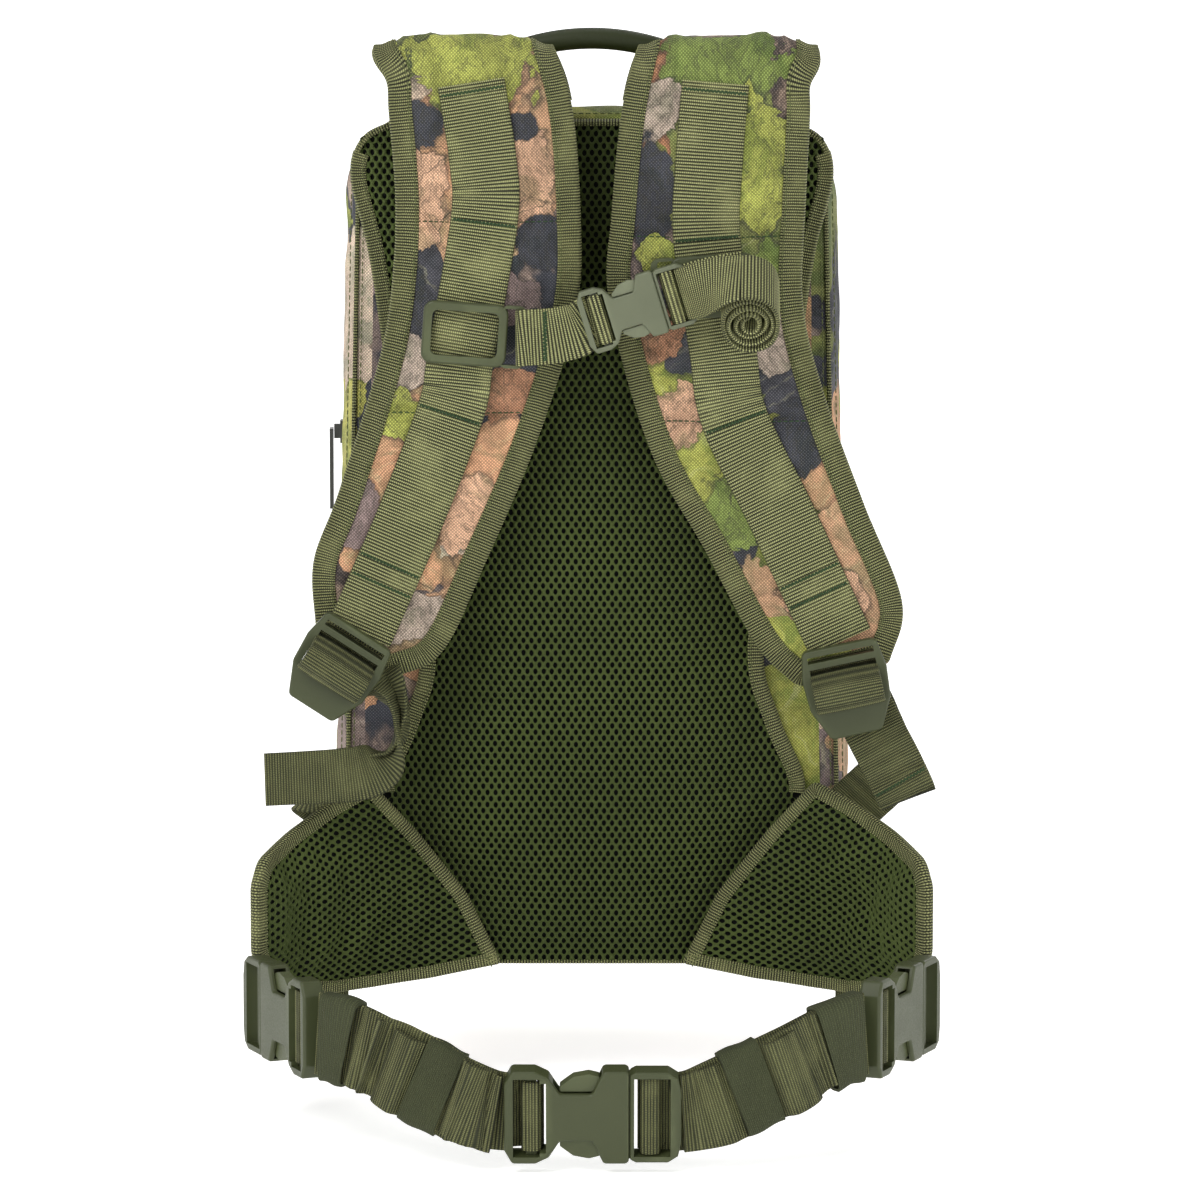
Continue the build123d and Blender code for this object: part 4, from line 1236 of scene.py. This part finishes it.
def stand(flat, y):
    """Points in space for an (x, z) line at depth y."""
    return np.stack([flat[:, 0], np.full(len(flat), float(y)), flat[:, 1]], 1)


def body_shell(batch, rows, line, outward, seed, cap_rows=26, crown=0.0, middle=(110, 290), wrinkle=1.0):
    """Fabric shell: rows of (depth y, inset) round the outline, then a cap over the last row's side."""
    travelled = travel_along(line)
    shells, flats = [], []
    run = seed * 3.1
    previous = None
    for y, inset in rows:
        flat = line - outward * inset
        if previous is not None:
            run += math.hypot(y - previous[0], inset - previous[1])
        previous = (y, inset)
        place = stand(flat, y)
        around = stand(line, y * 1.6)
        push = wrinkle * (
            0.9 * field(around, 75, seed, 3) + 0.35 * field(around * (1, 2.2, 0.7), 30, seed + 1, 2)
        )
        ends = min(1.0, abs(y - rows[0][0]) / 12)
        tail = min(1.0, abs(rows[-1][0] - y) / 8 + 0.25)
        place[:, 0] += outward[:, 0] * push * ends * tail
        place[:, 2] += outward[:, 1] * push * ends * tail
        shells.append(place)
        flats.append(np.stack([travelled, np.full(len(line), run)], 1))
    points, uvs = np.stack(shells), np.stack(flats)
    batch.add(points, grid_faces(len(points), len(line)).tolist(), uvs)
    # the cap shrinks to a spine up the middle
    rim = points[-1]
    spine = np.stack([0 * rim[:, 0], rim[:, 1], np.clip(rim[:, 2], *middle)], 1)
    cap = []
    direction = np.sign(rows[-1][0] - rows[0][0])
    for k in range(cap_rows + 1):
        share = k / cap_rows
        place = rim + (spine - rim) * share
        flat = place[:, [0, 2]]
        bulge = crown * (1 - (1 - share) ** 2.2)
        fold = wrinkle * 0.9 * field(flat, 85, seed + 5, 3) * min(1, share * 5)
        place[:, 1] += direction * (bulge + fold)
        cap.append(place)
    cap = np.stack(cap)
    batch.add(cap, grid_faces(len(cap), len(line)).tolist(), cap[..., [0, 2]])
    return points


def pocket_outline():
    low_x, low_z = POCKET_HALF - POCKET_RADIUS, POCKET_LOW + POCKET_RADIUS
    top_x, top_z = POCKET_HALF - POCKET_TAPER - POCKET_RADIUS, POCKET_HIGH - POCKET_RADIUS
    centres = [(low_x, low_z), (top_x, top_z), (-top_x, top_z), (-low_x, low_z)]
    corners = [
        (*centre, POCKET_RADIUS, k * QUARTER, (k + 1) * QUARTER) for centre, k in zip(centres, (-1, 0, 1, 2))
    ]
    return rounded_outline(POCKET_LOW, corners, 10, 2.0)


def make_lining(name, body, rows, line, outward, seed, crown):
    """The lining inside a shell."""
    lining = Batch()
    body_shell(lining, rows, line, outward, seed, crown=crown)
    lining.droop()
    lining.build(name, M_LINING, "camo_fabric", body)


def make_piping(name, line, outward, inset, y, radius, spacing=1.2, drooping=False):
    """A piped seam round an outline. It rides on the lid, or on the pack where its name says so."""
    piping = Batch()
    add_tube(piping, stand(line - outward * inset, y), radius, 8, spacing, smooth=False, closed=True)
    if drooping:
        piping.droop()
    piping.build(name, M_BINDING, "binding", "pack" if name.startswith("pack") else "lid")


def make_body(threads, lid_threads):
    line, outward = body_outline()
    tooth = capsule(3.6, 0.55, 5)
    backward = np.tile([0.0, 1.0, 0.0], (len(line), 1))
    # tray: from the zip forwards to the back panel
    tray = Batch()
    rows = smooth_path(TRAY_ROWS, 2.2).tolist()
    body_shell(tray, rows, line, outward, 101)
    tray.droop()
    tray.build("pack_tray", M_CAMO, "camo_fabric", "pack", ["main_shell", "frame_sheet"])
    inner = [(y + 1.8 * (92 - y) / 88.9, inset + 1.9) for y, inset in rows]
    make_lining("pack_lining", "pack", inner, line, outward, 101, 0.0)
    # piped seam between the side gusset and the harness panel, with a row of stitches on each side of it
    make_piping("pack_seam_piping", line, outward, 5.2, 4.2, 1.15, 1.5)
    for inset, y, sideways, forward in ((8.0, 3.2, 0.3, -1.0), (2.2, 8.0, 1, -0.4)):
        normal = stand(outward * sideways, forward)
        add_seam(threads, stand(line - outward * inset, y), normal, 3.4, 2.5, 0.3, 0.3)

    # zip: a tape on the pack, a tape on the lid and the coil between them
    for name, y, body, replaced in (
        ("main_zip_tape", 90.6, "pack", ["main_zip"]), ("lid_zip_tape", 98.0, "lid", []),
    ):
        tape = Batch()
        path = stand(line - outward * 0.5, y)
        add_strip(tape, path, (0, 1, 0), 5.0, 0.8, rib=0.8, depth=0.05, spacing=2.0, columns=5, smooth=False)
        tape.droop()
        tape.build(name, M_ZIP, "zip_tape", body, replaced)
    coil = Batch()
    teeth = resample(line - outward * 0.3, 1.9)
    ahead = stand(unit(np.gradient(teeth, axis=0)), 0)
    out = np.stack([ahead[:, 2], ahead[:, 1], -ahead[:, 0]], 1)
    scatter(coil, tooth, stand(teeth, ZIP_DEPTH), ahead * 0.25 + (0, 1, 0), out)
    coil.droop()
    coil.build("main_zip_coil", M_COIL, "zip_tape", "pack")

    # lid: from the zip backwards
    lid = Batch()
    rows = smooth_path(LID_ROWS, 2.0).tolist()
    body_shell(lid, rows, line, outward, 131, crown=2.5)
    lid.droop()
    lid.build("lid_panel", M_CAMO, "camo_fabric", "lid", ["lid_shell"])
    inner = [(y - 1.8 * (y - 97) / 33.3, inset + 1.9) for y, inset in rows]
    make_lining("lid_lining", "lid", inner, line, outward, 131, 2.5)
    make_piping("lid_piping", line, outward, 5.0, 128.2, 1.9, drooping=True)
    add_seam(lid_threads, stand(line - outward * 10.5, 130.6), backward, 3.4, 2.5, 0.32, 0.2)
    lid_threads.droop()

    # pocket
    line, outward = pocket_outline()
    pocket = Batch()
    rows = smooth_path(POCKET_ROWS, 1.8).tolist()
    body_shell(pocket, rows, line, outward, 161, cap_rows=20, crown=5.5, middle=(90, 196), wrinkle=1.1)
    pocket.build("pocket_panel", M_CAMO, "camo_fabric", "lid", ["front_pocket"])
    make_piping("pocket_piping", line, outward, 4.2, 159.2, 1.8)
    foot = Batch()
    path = stand(line + outward * 0.8, 131.6)
    add_strip(foot, path, (0, 1, 0), 3.4, 1.2, rib=1.35, depth=0.1, spacing=1.0, columns=5, smooth=False)
    foot.build("pocket_foot_tape", M_BINDING, "binding", "lid")
    # the pocket's zip, across its upper face, with two tapes and a coil
    tape = Batch()
    for y in (137.9, 144.1):
        path = [(-66, y, 264.2), (66, y, 264.2)]
        add_strip(tape, path, (0, 1, 0), 5.4, 0.8, rib=0.8, depth=0.05, spacing=1.0, columns=6)
    tape.build("pocket_zip_tape", M_ZIP, "zip_tape", "lid", ["pocket_zip"])
    coil = Batch()
    places = np.array([(x, 141.0, 264.7) for x in np.arange(-64, 64.1, 1.9)])
    scatter(
        coil, tooth, places, np.tile([0.25, 1.0, 0.0], (len(places), 1)),
        np.tile([0, 0, 1.0], (len(places), 1)),
    )
    coil.build("pocket_zip_coil", M_COIL, "zip_tape", "lid")


# ================================================================ belt, locks, chest strap, handle

LEAN = math.radians(12)
LEANING = np.array([0, -math.sin(LEAN), math.cos(LEAN)])
# a buckle's own x of the bars that webbing runs round, in the socket and in the plug
SOCKET_BAR, PLUG_BAR = -43.75, 9.5


def buckle_frame(origin, ahead, up):
    """Function from a buckle's own (x, y, z) to the row frame."""
    ahead, up = unit(np.array(ahead, float)), unit(np.array(up, float))
    side = np.cross(up, ahead)
    axes = np.stack([ahead, side, up])
    return lambda points: np.asarray(points, float) @ axes + np.array(origin, float)


CENTRE = buckle_frame((16.8, -195, -31), (1, 0, 0), LEANING)


def side_frame(side):
    return buckle_frame((side * 148.0, -103.5, -1.5), (side * 0.40, 0.9165, 0), (0, 0, side))


BELT = {
    -1: [
        (-124.5, -157.5, -2), (-108, -170, -4), (-84, -182, -14), (-62, -189, -24), (-46, -192.2, -29.5),
        (-34.5, -193.0, -31.0),
    ],
    1: [
        (124.5, -157.5, -2), (110, -169, -4), (88, -181, -13), (66, -189, -22), (48, -192.2, -29.0),
        (36.5, -193.0, -31.0),
    ],
}
# each elastic keeper, between two values of x
KEEPERS = {-1: [(-119, -107), (-79, -63)], 1: [(63, 79), (105, 119)]}
KEEPER_SIDES = 73
# folds of the slack: share of the belt where each starts and ends, how far it stands out, how far it slips up
FOLDS = {
    -1: [(0.30, 0.36, 4.0, 0.5), (0.38, 0.78, 5.0, -1.0), (0.70, 0.90, 6.0, 1.5)],
    1: [(0.10, 0.30, 6.0, 1.5), (0.34, 0.62, 5.0, -1.0), (0.62, 0.72, 4.0, 0.5)],
}


def bar_wrap(to_row, bar, tail_in, tail_out):
    """Path of webbing that comes to a bar from behind, goes over its front and back again."""
    reach = 3.6
    front = [(reach, 3.2), (reach, 0.5), (reach - 0.6, -2.3)]
    before = [(bar - x, y, 0) for x, y in front]
    after = [(bar + x, y, 0) for x, y in front[::-1]]
    return to_row([tail_in, *before, (bar, -2.9, 0), *after, tail_out])


def upward(ahead):
    """The directions square to a heading that point most nearly up."""
    return unit(np.cross(np.cross(ahead, (0, 0, 1)), ahead))


def outward_of(ahead, up):
    """The directions square to both that point forwards."""
    out = unit(np.cross(ahead, up))
    return np.where(out[:, 1:2] > 0, -out, out)


def buckle_axis(to_row):
    return to_row([(0, 0, 1)])[0] - to_row([(0, 0, 0)])[0]


def add_keeper(batch, line, low, high, side):
    """An elastic sleeve round the belt between two values of x."""
    part = resample(line[(line[:, 0] > low - 1) & (line[:, 0] < high + 1)], 0.6)
    ahead = unit(np.gradient(part, axis=0))
    up = upward(ahead)
    out = outward_of(ahead, up)
    angle = np.linspace(0, 2 * math.pi, KEEPER_SIDES)
    wide = np.sign(np.cos(angle)) * np.abs(np.cos(angle)) ** 0.32 * 20.6
    deep = np.sign(np.sin(angle)) * np.abs(np.sin(angle)) ** 0.45 * 5.6
    share = np.linspace(0, 1, len(part))
    pinch = 1 - 0.02 * np.sin(share * math.pi * 2 + low)
    ring = part[:, None] + up[:, None] * (wide[None, :, None] * pinch[:, None, None])
    ring += out[:, None] * (deep[None, :, None] + 0.5)
    round_path = np.concatenate([[0], np.cumsum(np.hypot(np.diff(wide), np.diff(deep)))])
    uvs = np.stack(np.broadcast_arrays((share * (high - low))[:, None], round_path[None, :]), -1)
    inner_ring = part[:, None] + (ring - part[:, None]) * 0.93
    batch.add(ring, grid_faces(len(part), KEEPER_SIDES, flip=side > 0).tolist(), uvs)
    batch.add(inner_ring, grid_faces(len(part), KEEPER_SIDES, flip=side < 0).tolist(), uvs)
    for row, flip in ((0, side > 0), (-1, side < 0)):
        pair = np.stack([ring[row], inner_ring[row]])
        batch.add(pair, grid_faces(2, KEEPER_SIDES, flip=flip).tolist(), np.stack([uvs[row], uvs[row]]))


def make_belt():
    for side in (-1, 1):
        word = WORD[side]
        body = "pack" if side < 0 else "belt_right"
        web = Batch()
        line = smooth_path(BELT[side], 2.0)
        ahead = unit(np.gradient(line, axis=0))
        # turning upright on its way into the waist buckle
        near = 1 - step(np.abs(line[:, 0:1]), 36, 66)
        up = unit(upward(ahead) * (1 - near) + LEANING * near)
        out = outward_of(ahead, up)
        travel = np.linspace(0, 1, len(line))
        # inner run, straight from buckle to buckle
        add_strip(web, line - out * 0.9, up, 37.5, 1.4, smooth=False)
        # outer run: the slack folded back over it, held down by the keepers and standing up between them
        held = np.ones(len(line))
        for low, high in KEEPERS[side]:
            held *= 1 - step(line[:, 0], low - 5, low) * (1 - step(line[:, 0], high, high + 5))
        wave = 0.2 + 2.6 * held * np.sin(travel * math.pi * 3 + side) ** 2
        skew = 2.6 * np.sin(travel * 5 + side) * np.sin(travel * math.pi)
        start, end = (0.05, 0.93) if side < 0 else (0.10, 0.97)
        part = (travel > start) & (travel < end)
        outer = line + out * (1.1 + wave[:, None]) + skew[:, None] * (0, 0, 1)
        add_strip(web, outer[part], up[part] + (0.04, 0, 0), 37.0, 1.4, smooth=False)
        for first, last, tall, lean in FOLDS[side]:
            part = (travel > first) & (travel < last)
            run = line[part] + (0, 0, lean)
            share = np.linspace(0, 1, len(run))
            rise = 3.0 + held[part] * tall * np.sin(share * math.pi) ** 0.6
            there = run + out[part] * rise[:, None]
            back = run + out[part] * (2.4 + 0.35 * (rise - 2.4))[:, None]
            turn_in = there[-1:] * 0.5 + back[-1:] * 0.5 + ahead[part][-1:] * 1.8
            loop = np.vstack([there, turn_in, back[::-1]])
            upright = np.vstack([up[part], up[part][-1:], up[part][::-1]]) - (0.03, 0, 0)
            add_strip(web, loop, upright, 36.0, 1.2, smooth=False)
        # round the two buckle bars
        if side < 0:
            wrap = bar_wrap(CENTRE, SOCKET_BAR, (SOCKET_BAR - 9, 2.4, 0), (SOCKET_BAR + 5.4, 4.2, 0))
        else:
            wrap = bar_wrap(CENTRE, PLUG_BAR, (PLUG_BAR - 5.4, 4.2, 0), (PLUG_BAR + 13, 2.4, 0))
        add_strip(web, wrap, buckle_axis(CENTRE), 36.4 if side > 0 else 33.2, 1.4)
        to_row = side_frame(side)
        wrap = bar_wrap(to_row, SOCKET_BAR, (SOCKET_BAR - 9, 2.8, 0), (SOCKET_BAR + 5.2, 4.0, 0))
        add_strip(web, wrap, buckle_axis(to_row), 33.2, 1.4)
        web.build(f"belt_{word}_webbing", M_BELT, "webbing", body, [f"belt_webbing_{word}"])

        sleeves = Batch()
        for low, high in KEEPERS[side]:
            add_keeper(sleeves, line, low, high, side)
        sleeves.build(f"belt_{word}_elastic_keepers", M_KEEPER, "elastic", body, [f"belt_keepers_{word}"])


# x, z and turn in degrees of each ladder lock
LOCKS = {-1: (-107.5, 167.0, 33.0), 1: (114.5, 160.5, -12.0)}
LOCK_Y = -52.5
# (y, z) of the webbing through a lock, its slack bulging forwards
WOVEN = [(7.0, -6), (4.6, -10.6), (1.0, -12.6), (-3.2, -13.2), (-8.0, -14.6), (-13.4, -16.0), (-17.6, -19.4)]
WOVEN += [(-17.8, -24.2), (-13.2, -27.4), (-6.0, -28.6), (0.4, -27.4), (4.2, -28.4), (5.0, -34)]
# the webbing's free end below each lock: path, directions across it, width and cup
TAILS = {
    -1: (
        [
            (-101, -45, 152), (-97, -44.5, 146), (-92, -44.5, 137), (-89, -45.5, 126), (-89.5, -48, 115),
            (-95, -51.5, 106), (-105, -54.5, 101), (-118, -56.5, 99.4), (-134, -57.5, 98.6), (
                -152, -59.5, 98,
            ),
        ],
        [
            (0.8, 0.3, 0.5), (0.5, 0.8, 0.3), (0.26, 0.95, 0.15), (0.2, 0.97, 0.1), (0.2, 0.93, 0.26),
            (0.16, 0.7, 0.68), (0.06, 0.3, 0.94), (0, 0, 1), (0, -0.08, 1), (0.05, -0.1, 1),
        ],
        24.5, 0.2,
    ),
    1: (
        [
            (118.5, -46.2, 150), (121, -46.4, 141), (127, -47.2, 129), (133, -48.6, 117), (140, -52.5, 104),
            (145.5, -56, 92.5), (147, -58, 88.5),
        ],
        [(1, 0, 0.25), (1, 0, 0.55), (0.86, 0, 0.5), (0.86, 0, 0.5)],
        27, 0.4,
    ),
}
# each lower webbing's sewn anchor: path and directions across it
ANCHORS = {
    -1: (
        [
            (-104, -3.5, 50), (-112, -5.6, 64), (-124, -10, 77), (-131, -20, 86), (-124, -33, 94),
            (-108, -38, 100), (-94, -40, 110), (-90, -41, 124), (-94, -42, 136), (-100, -43, 144),
        ],
        [
            (-0.74, 0, -0.67), (-0.74, 0, -0.67), (-0.7, 0.1, -0.7), (-0.4, 0.4, -0.8), (0, 0.5, -0.85),
            (0.1, 0.75, -0.6), (-0.1, 0.97, -0.2), (-0.15, 0.98, -0.1), (-0.5, 0.8, -0.3), (-0.8, 0.3, -0.5),
        ],
    ),
    1: (
        [
            (104, -3.5, 50), (112, -5.6, 64), (125, -9, 78), (134, -16.5, 88), (141, -27, 97),
            (140, -38, 108), (131, -43.5, 124), (124, -44.5, 138),
        ],
        [(0.74, 0, -0.67), (0.74, 0, -0.67), (0.74, 0, -0.67), (0.8, 0, -0.2)],
    ),
}


def make_locks(threads):
    for side in (-1, 1):
        word = WORD[side]
        x, z, turn = LOCKS[side]
        angle = math.radians(turn)
        up = np.array([math.sin(angle), 0, math.cos(angle)])
        across = np.array([math.cos(angle), 0, -math.sin(angle)])
        web = Batch()
        woven = [np.array([0, y, 0]) + up * rise + (x, LOCK_Y, z) for y, rise in WOVEN]
        add_strip(web, woven, across, 31.4, 1.4, cup=0.3)
        tail, tilt, width, cup = TAILS[side]
        add_strip(web, tail, tilt, width, 1.4, cup=cup)
        if side > 0:
            # folded and sewn hem at the tail's end
            hem = [(142.6, -55.2, 98), (145.8, -57.4, 92), (147, -59.2, 89.2)]
            add_strip(web, hem, (0.86, 0, 0.5), 26.6, 1.3)
            add_tack(threads, (143.6, -56.8, 96.2), (0.86, 0.0, 0.5), (0.1, -0.9, -0.3), 26, 2.0)
        web.build(f"lower_{word}_webbing", M_BELT, "webbing", f"lock_{word}", [f"lower_webbing_{word}"])

        anchor = Batch()
        path, tilt = ANCHORS[side]
        add_strip(anchor, path, tilt, 26, 1.4)
        ends = ((side * 0.112, -0.006, 0.060), (side * 0.125, -0.044, 0.130))
        anchor.build(
            f"anchor_{word}_webbing", M_BELT, "webbing", None, [f"anchor_webbing_{word}"],
            ("pack", f"lock_{word}", *ends),
        )



CHEST_ANGLE = math.radians(17)
CHEST_UP = (-math.sin(CHEST_ANGLE), 0, math.cos(CHEST_ANGLE))
CHEST = buckle_frame((31.5, -65, 322), (math.cos(CHEST_ANGLE), 0, math.sin(CHEST_ANGLE)), CHEST_UP)
CHEST_SCALE = 0.66
ROLL_END = np.array([72.0, -87.0, 312.4])
ROLL_TURNS, ROLL_POINTS = 4.1, 190


def make_chest_strap(threads):
    axis = buckle_axis(CHEST)
    web = Batch()
    # sewn round the left slider's eye, then to the socket's bar
    eye = [
        (-31, -55.8, 304.6), (-33.2, -57.6, 304.4), (-34.2, -60.2, 304.2), (-33, -62.8, 304.4),
        (-29.6, -64.4, 304.9), (-18, -65, 305.8), (-7.2, -65.2, 308.2),
    ]
    bends = [(-8, 1.2), (-3.8, -0.6), (-2, -2.7), (2, -2.7), (4.0, -0.6), (4.6, 2.8)]
    end = CHEST([((SOCKET_BAR + x) * CHEST_SCALE, y, 0) for x, y in bends])
    path = np.vstack([eye, end])
    tilt = [(0, 0, 1)] * 6 + [tuple(axis)] * 5
    add_strip(web, path, tilt, [25, 25, 25, 24.5, 23.5, 22.4, 22.2], 1.4)
    under = [(-31, -55.8, 304.6), (-27, -59.5, 304.7), (-20, -62.9, 305.3), (-9, -63.4, 307.4)]
    add_strip(web, under, (0, 0, 1), 24.5, 1.3)
    web.build("chest_left_webbing", M_WEBBING, "webbing", "chest_strap", ["chest_webbing_left"])
    add_tack(threads, (-21.5, -66.1, 305.7), (0, 0, 1), (0, -1, 0), 23, 2.2)

    tail = Batch()
    bar = PLUG_BAR * CHEST_SCALE
    bends = [(11, 4.4), (4.6, 4.0), (2.7, 0.4), (1.4, -2.6), (-1.4, -2.6), (-2.7, 0.2), (-3.0, 3.4)]
    wrap = CHEST([(bar + x, y, 0) for x, y in bends])
    add_strip(tail, wrap, axis, 24.2, 1.4)
    # the sewn run to the right slider's eye
    sewn = [
        tuple(CHEST([(bar + 3, 3.2, 0)])[0]), (50.6, -62.2, 328.0), (60, -61.4, 330.2), (70, -60.2, 331.6),
    ]
    add_strip(tail, sewn, (-0.15, 0, 1), 24.5, 1.4)
    # the free run, over it to the roll
    roll_axis = unit(np.array([0.0, -1.0, -1.0]))
    first = unit(np.array([1.0, 0, 0]))
    second = np.cross(roll_axis, first)
    turns = np.linspace(0, ROLL_TURNS * 2 * math.pi, ROLL_POINTS)
    fade = np.linspace(1, 0.16, ROLL_POINTS)
    wobble = 1 + 0.05 * np.sin(turns * 2.3 + 0.7)
    middle = ROLL_END - roll_axis * 12.5
    begin = math.radians(104) - turns
    wound = first * (np.cos(begin) * 14.6 * fade * wobble)[:, None]
    coil = middle + (wound + second * (np.sin(begin) * 20.0 * fade)[:, None])
    coil += roll_axis * (np.sin(turns * 0.7) * 0.6)[:, None]
    add_strip(tail, coil, roll_axis, [25, 24.6, 24.2, 24], 1.35, cup=0)
    # from the bar to the roll: a curve with the headings of both, turning evenly
    share = np.linspace(0, 1, 12)[:, None]
    begin_at = CHEST([(bar + 4.4, -1.6, 0)])[0]
    leave = np.array([16.0, -26.0, 4.0])
    arrive = unit(coil[1] - coil[0]) * 30
    free = (2 * share**3 - 3 * share**2 + 1) * begin_at + (share**3 - 2 * share**2 + share) * leave
    free = free + (3 * share**2 - 2 * share**3) * coil[0] + (share**3 - share**2) * arrive
    turned = step(share, 0.0, 1.0)
    tilt = unit((1 - turned) * axis - turned * roll_axis)
    add_strip(tail, free, tilt, [23.5, 24, 24.5, 25, 25, 25], 1.4)
    tail.build("chest_right_webbing", M_WEBBING, "webbing", "chest_plug", ["chest_webbing_right"])


def make_handle(threads):
    ends = Batch()
    for side in (-1, 1):
        path = [
            (side * 79, 12, 405.2), (side * 76, 12, 408.5), (side * 72.5, 12, 414), (side * 67, 12, 418.4),
            (side * 60, 12, 420.4),
        ]
        add_strip(ends, path, (0, 1, 0), [20, 19, 15, 9.5, 9], 1.8, spacing=0.5)
    ends.build(
        "handle_end_webbing", M_WEBBING, "webbing", None, ["handle_webbing"],
        ("pack", "handle", (0, 0.012, 0.4055), (0, 0.012, 0.4115)),
    )
    for side in (-1, 1):
        for dx in (-6, 6):
            add_tack(threads, (side * 80 + dx * 0.2, 12 + dx, 406.8), (1, 0, -side * 0.2), (0, 0, 1), 8, 1.6)


# ================================================================ everything

add_camera()
stitches, pale_stitches, lid_stitches, chest_stitches = Batch(), Batch(), Batch(), Batch()
lock_stitches = Batch()
make_body(pale_stitches, lid_stitches)
make_back(pale_stitches)
make_straps(stitches, pale_stitches)
make_wings()
make_belt()
make_locks(lock_stitches)
make_chest_strap(chest_stitches)
make_handle(stitches)
stitches.build("bar_tack_threads", M_THREAD, "binding", "pack")
pale_stitches.build("seam_threads", M_THREAD_OLIVE, "binding", "pack")
lid_stitches.build("lid_seam_threads", M_THREAD_OLIVE, "binding", "lid")
chest_stitches.build("chest_tack_threads", M_THREAD, "binding", "chest_strap")
lock_stitches.build("tail_hem_threads", M_THREAD, "binding", "lock_right")

# looks of the moulded and metal nodes: the first key that is in a node's name counts
FINISHES = {
    "chest_sliders": M_PLASTIC,
    "chest_buckle": M_PLASTIC_GREY,
    "chest_prong": M_PLASTIC_GREY,
    "ladder_lock": M_PLASTIC,
    "handle_grip": M_RUBBER,
    "buckle": M_PLASTIC,
    "prong": M_PLASTIC,
    "slider": M_METAL,
    "pull": M_METAL,
}
for name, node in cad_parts.items():
    key = next((key for key in FINISHES if key in name), None)
    if key:
        node.data.materials.clear()
        node.data.materials.append(FINISHES[key])

# floor, rising at its far edge, and lamps, all in metres
FLOOR_HEIGHT, FLOOR_SIDES = -0.0585, 48
# radius of each ring of the floor, and how far it stands over the floor
FLOOR_RINGS = [(0.02, 0.0), (8.0, 0.0), (10.0, 0.5), (10.75, 3.5)]
GLOW_NEAR, GLOW_FAR = (1.5, 0.55), (7.0, 0.95)
# name, place, target, side of the square and power
LAMPS = [
    ("key_lamp", (-1.5, -2.5, 2.7), (0, 0, 0.2), 1.5, 76),
    ("fill_lamp", (2.4, -2.2, 1.3), (0, 0, 0.2), 1.8, 20),
    ("top_lamp", (0, 0.6, 3.2), (0, 0.2, 0.2), 2.6, 40),
    ("rear_lamp", (0.8, 2.9, 1.8), (0, 0, 0.2), 1.6, 26),
]
SKY_STRENGTH = 0.23

mesh = bpy.data.meshes.new("studio_floor")
around = np.linspace(0, 2 * math.pi, FLOOR_SIDES, endpoint=False)
corners = [(r * math.cos(a), r * math.sin(a), FLOOR_HEIGHT + rise) for r, rise in FLOOR_RINGS for a in around]
quads = []
for ring in range(len(FLOOR_RINGS) - 1):
    for i in range(FLOOR_SIDES):
        here, beside = ring * FLOOR_SIDES + i, ring * FLOOR_SIDES + (i + 1) % FLOOR_SIDES
        quads.append((here, beside, beside + FLOOR_SIDES, here + FLOOR_SIDES))
mesh.from_pydata(corners, [], quads + [tuple(range(FLOOR_SIDES))])
sweep = bpy.data.objects.new("studio_floor", mesh)
bpy.context.scene.collection.objects.link(sweep)
paper = Shader("backdrop_paper")
speck = paper.noise(paper.place(), 3.0, 4.0)[0]
paper_colour = paper.mix(speck, (0.86, 0.86, 0.855), (0.90, 0.90, 0.895))
away = paper.length(paper.place())
glow = paper.range(away, GLOW_NEAR[0], GLOW_FAR[0], GLOW_NEAR[1], GLOW_FAR[1])
paper.tree.links.new(glow, paper.surface.inputs["Emission Strength"])
sweep.data.materials.append(paper.finish(paper_colour, 0.9, Emission_Color=(1, 1, 1, 1)))

for lamp in LAMPS:
    add_lamp(*lamp)
world = bpy.data.worlds.new("studio")
bpy.context.scene.world = world
world.use_nodes = True
world.node_tree.nodes["Background"].inputs["Color"].default_value = (1, 1, 1, 1)
world.node_tree.nodes["Background"].inputs["Strength"].default_value = SKY_STRENGTH
bpy.context.scene.view_settings.view_transform = "Standard"
